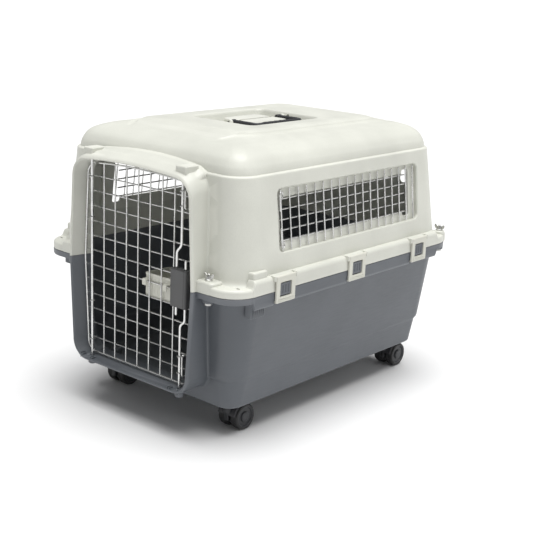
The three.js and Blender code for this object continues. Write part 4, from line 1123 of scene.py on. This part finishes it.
def moulded(name, colour, rough, grain=0.05, worn=None, size=1.0):
    """Moulded plastic: spark-etched grain, faint cloudiness, worn edges and light handling marks."""
    material, tree, surface = shader(name)
    place = node(tree, "ShaderNodeTexCoord").outputs["Object"]
    clouds = node(tree, "ShaderNodeTexNoise", {"Scale": 9.0 / size, "Detail": 4.0}, Vector=place).outputs["Fac"]
    specks = node(tree, "ShaderNodeTexNoise", {"Scale": 420.0 / size, "Detail": 2.0}, Vector=place).outputs["Fac"]
    etched = node(tree, "ShaderNodeTexNoise", {"Scale": 1500.0 / size, "Detail": 3.0, "Roughness": 0.6}, Vector=place).outputs["Fac"]
    stretch = node(tree, "ShaderNodeMapping", {"Scale": (30.0, 30.0, 420.0)}, Vector=place).outputs["Vector"]
    marks = node(tree, "ShaderNodeTexNoise", {"Scale": 1.0, "Detail": 5.0}, Vector=stretch).outputs["Fac"]
    darker = tuple(c * 0.93 for c in colour)
    lighter = tuple(min(1.0, c * 1.05 + 0.003) for c in colour)
    body = blend_colours(tree, spread(tree, clouds, 0.3, 0.7), darker, lighter)
    body = blend_colours(tree, spread(tree, specks, 0.45, 0.75, 0.0, 0.22), body, tuple(c * 0.86 for c in colour))
    edges = spread(tree, node(tree, "ShaderNodeNewGeometry").outputs["Pointiness"], 0.512, 0.56, 0.0, 0.5)
    body = blend_colours(tree, edges, body, worn or lighter)
    tree.links.new(body, surface.inputs["Base Color"])
    shine = node(tree, "ShaderNodeMath", {"operation": "ADD"})
    tree.links.new(spread(tree, marks, 0.35, 0.75, rough - 0.05, rough + 0.1), shine.inputs[0])
    tree.links.new(spread(tree, specks, 0.3, 0.7, -0.02, 0.02), shine.inputs[1])
    tree.links.new(shine.outputs["Value"], surface.inputs["Roughness"])
    bump = node(tree, "ShaderNodeBump", {"Strength": 0.35, "Distance": grain * MM}, Height=etched)
    tree.links.new(bump.outputs["Normal"], surface.inputs["Normal"])
    surface.inputs["IOR"].default_value = 1.47
    return material


def plated(name, colour, rough, grain=0.03):
    """Plated steel: drawing lines, dull patches and a slight tarnish."""
    material, tree, surface = shader(name)
    place = node(tree, "ShaderNodeTexCoord").outputs["Object"]
    patches = node(tree, "ShaderNodeTexNoise", {"Scale": 35.0, "Detail": 5.0}, Vector=place).outputs["Fac"]
    lines = node(tree, "ShaderNodeTexNoise", {"Scale": 900.0, "Detail": 2.0}, Vector=place).outputs["Fac"]
    tarnish = tuple(c * 0.62 for c in colour)
    body = blend_colours(tree, spread(tree, patches, 0.42, 0.72, 0.0, 0.55), colour, tarnish)
    tree.links.new(body, surface.inputs["Base Color"])
    tree.links.new(spread(tree, patches, 0.3, 0.7, rough - 0.05, rough + 0.14), surface.inputs["Roughness"])
    bump = node(tree, "ShaderNodeBump", {"Strength": 0.25, "Distance": grain * MM}, Height=lines)
    tree.links.new(bump.outputs["Normal"], surface.inputs["Normal"])
    surface.inputs["Metallic"].default_value = 1.0
    return material


def floor_material():
    material, tree, surface = shader("floor")
    place = node(tree, "ShaderNodeTexCoord").outputs["Object"]
    faint = node(tree, "ShaderNodeTexNoise", {"Scale": 3.0, "Detail": 3.0}, Vector=place).outputs["Fac"]
    body = blend_colours(tree, faint, (0.77, 0.77, 0.77), (0.79, 0.79, 0.79))
    tree.links.new(body, surface.inputs["Base Color"])
    surface.inputs["Roughness"].default_value = 0.9
    surface.inputs["Specular IOR Level"].default_value = 0.1
    return material


CREAM = moulded("cream_shell", (0.62, 0.625, 0.565), 0.42, worn=(0.72, 0.72, 0.66))
TRIM = moulded("cream_trim", (0.60, 0.60, 0.53), 0.36, 0.03, (0.68, 0.67, 0.6))
GREY = moulded("grey_shell", (0.108, 0.118, 0.132), 0.42, worn=(0.2, 0.21, 0.225))
LATCH = moulded("latch_plastic", (0.045, 0.046, 0.048), 0.38, 0.04, (0.12, 0.12, 0.12))
BLACK = moulded("black_plastic", (0.022, 0.023, 0.026), 0.4, 0.04, (0.06, 0.06, 0.065))
RUBBER = moulded("black_rubber", (0.018, 0.018, 0.019), 0.62, 0.08, (0.05, 0.05, 0.05))
DISC = moulded("wheel_disc", (0.04, 0.042, 0.046), 0.4, 0.03, (0.09, 0.09, 0.1))
CHROME = plated("wire", (0.72, 0.72, 0.71), 0.2)
STEEL = plated("steel", (0.62, 0.62, 0.60), 0.3)


# ---------------------------------------------------------------- placing
def shade(obj, angle=32):
    mesh = obj.data
    mesh.validate()
    for polygon in mesh.polygons:
        polygon.use_smooth = True
    mesh.set_sharp_from_angle(angle=math.radians(angle))
    weigh = obj.modifiers.new("normals", "WEIGHTED_NORMAL")
    weigh.keep_sharp = True
    weigh.weight = 80
    apply_modifiers(obj)


def add(obj, name, body, slot, material, *nodes):
    obj.name = name
    obj.data.materials.clear()
    shade(obj)
    obj.data.materials.append(material)
    for polygon in obj.data.polygons:
        polygon.material_index = 0
    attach(obj, body)
    if nodes:
        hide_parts(*nodes)
    return obj


def add_shells():
    add(lower_shell(), "lower_shell_skin", "carrier", "grey_shell", GREY, "lower_shell")
    add(upper_shell(), "upper_shell_skin", "carrier", "cream_shell", CREAM, "upper_shell")
    add(window_wires("wires", 1), "window_wires_right", "carrier", "wire", CHROME, "window_grille_right")
    add(window_wires("wires", -1), "window_wires_left", "carrier", "wire", CHROME, "window_grille_left")


def add_door():
    low, high = HOUSING["z"]
    add(door_wires(), "door_wires", "door", "wire", CHROME, "door_grid")
    add(rod("rod", [(-ROD_X, 85.0), (-ROD_X, 489.0)]), "hinge_rod_round", "door", "wire", CHROME, "hinge_rod")
    add(latch_case(), "latch_case", "door", "latch_plastic", LATCH, "latch_housing")
    add(latch_plate(), "latch_back_plate", "door", "latch_plastic", LATCH, "latch_cover")
    for word, x, z0, fixed in (("upper", UPPER_ROD_LOW_X, low + 3.7, low + 3.7),
                               ("lower", LOWER_ROD_HIGH_X, high - 37.7, high - 3.7)):
        piece = add(coil("coil", x, z0, z0 + 34), word + "_coil", "door", "steel", STEEL, word + "_latch_spring")
        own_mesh(piece)
    upper = collared("rod", [(ROD_X, 477.1), (ROD_X, 358), (UPPER_ROD_LOW_X, 346), (UPPER_ROD_LOW_X, 232)],
                     UPPER_ROD_LOW_X, low + 38)
    add(upper, "upper_rod_round", "upper_latch", "wire", CHROME, "upper_latch_rod")
    lower = collared("rod", [(ROD_X, 97.5), (ROD_X, 213), (LOWER_ROD_HIGH_X, 222), (LOWER_ROD_HIGH_X, 332)],
                     LOWER_ROD_HIGH_X, high - 41)
    add(lower, "lower_rod_round", "lower_latch", "wire", CHROME, "lower_latch_rod")
    add(bowl(), "bowl_moulded", "bowl", "cream_trim", TRIM, "food_bowl")


def add_fittings():
    add(bail(), "handle_bail", "handle", "black_plastic", BLACK, "roof_handle")
    for row, y in CLIP_Y.items():
        for word, sign in (("right", 1), ("left", -1)):
            place = word + "_" + row
            add(side_clip("clip", sign, y), "clip_moulded_" + place, "clip_" + place, "cream_trim", TRIM, "side_clip_" + place)
    for corner, (x, y) in BOLTS.items():
        add(bolt("bolt", x, y), "bolt_threaded_" + corner, "carrier", "steel", STEEL, "wing_bolt_" + corner)
        add(wing_nut("nut", x, y), "nut_winged_" + corner, "wing_nut_" + corner + "_body", "steel", STEEL, "wing_nut_" + corner)


def add_casters():
    for corner, (x, y) in CASTERS.items():
        axle_y = y + TRAIL
        outward = 1 if x > 0 else -1
        swivel, wheels = "caster_" + corner, "wheels_" + corner
        add(caster_fork("fork", x, y), "fork_moulded_" + corner, swivel, "black_plastic", BLACK, "caster_fork_" + corner)
        stem = turned("stem", [(5.0, 49), (5.5, 49.6), (5.5, 72.2), (4.9, 73)], (x, y, 0))
        add(stem, "stem_round_" + corner, swivel, "steel", STEEL, "caster_stem_" + corner)
        axle = turned("axle", [(2.6, x - 21), (3.0, x - 20.5), (3.0, x + 20.5), (2.6, x + 21)], (0, axle_y, WHEEL_R), "X", 24)
        add(axle, "axle_round_" + corner, wheels, "steel", STEEL, "caster_axle_" + corner)
        for word, end in (("outer", outward), ("inner", -outward)):
            middle = x + end * 15
            name = word + "_" + corner
            add(wheel_disc("disc", middle, end, axle_y), "disc_" + name, wheels, "black_plastic", DISC, "wheel_" + name)
            add(tyre("tyre", middle, axle_y), "tyre_" + name, wheels, "black_plastic", RUBBER)


# ---------------------------------------------------------------- studio
def add_floor():
    floor = add_object("floor", [(-60000, -60000, 0), (60000, -60000, 0), (60000, 60000, 0), (-60000, 60000, 0)], [(0, 1, 2, 3)])
    floor.data.materials.append(floor_material())


def add_sun(name, strength, angle, azimuth, elevation):
    lamp = bpy.data.lights.new(name, "SUN")
    lamp.energy = strength
    lamp.angle = math.radians(angle)
    obj = bpy.data.objects.new(name, lamp)
    a, e = math.radians(azimuth), math.radians(elevation)
    towards = Vector((math.sin(a) * math.cos(e), -math.cos(a) * math.cos(e), math.sin(e)))
    obj.rotation_euler = towards.to_track_quat("Z", "Y").to_euler()
    bpy.context.scene.collection.objects.link(obj)


def add_light():
    world = bpy.data.worlds.new("studio")
    world.use_nodes = True
    world.node_tree.nodes["Background"].inputs["Color"].default_value = (1.0, 1.0, 1.0, 1.0)
    world.node_tree.nodes["Background"].inputs["Strength"].default_value = 0.29
    bpy.context.scene.world = world
    add_sun("overhead", 3.8, 50.0, 85.0, 84.0)
    add_sun("right_fill", 0.32, 40.0, 105.0, 22.0)
    bpy.context.scene.view_settings.view_transform = "Standard"


def add_camera():
    data = bpy.data.cameras.new("camera")
    data.sensor_width = 36.0
    data.lens = 73.53
    camera = bpy.data.objects.new("camera", data)
    yaw, pitch, roll = (math.radians(a) for a in (40.38, 15.27, 2.36))
    forward = Vector((-math.sin(yaw) * math.cos(pitch), math.cos(yaw) * math.cos(pitch), -math.sin(pitch)))
    right = Vector((math.cos(yaw), math.sin(yaw), 0.0))
    up = right.cross(forward)
    level_right = right * math.cos(roll) + up * math.sin(roll)
    level_up = up * math.cos(roll) - right * math.sin(roll)
    turn = Matrix((level_right, level_up, -forward)).transposed().to_4x4()
    camera.matrix_world = Matrix.Translation((1.4067, -1.6125, 0.8230)) @ turn
    bpy.context.scene.collection.objects.link(camera)
    bpy.context.scene.camera = camera


add_camera()
add_light()
add_floor()
add_shells()
add_door()
add_fittings()
add_casters()
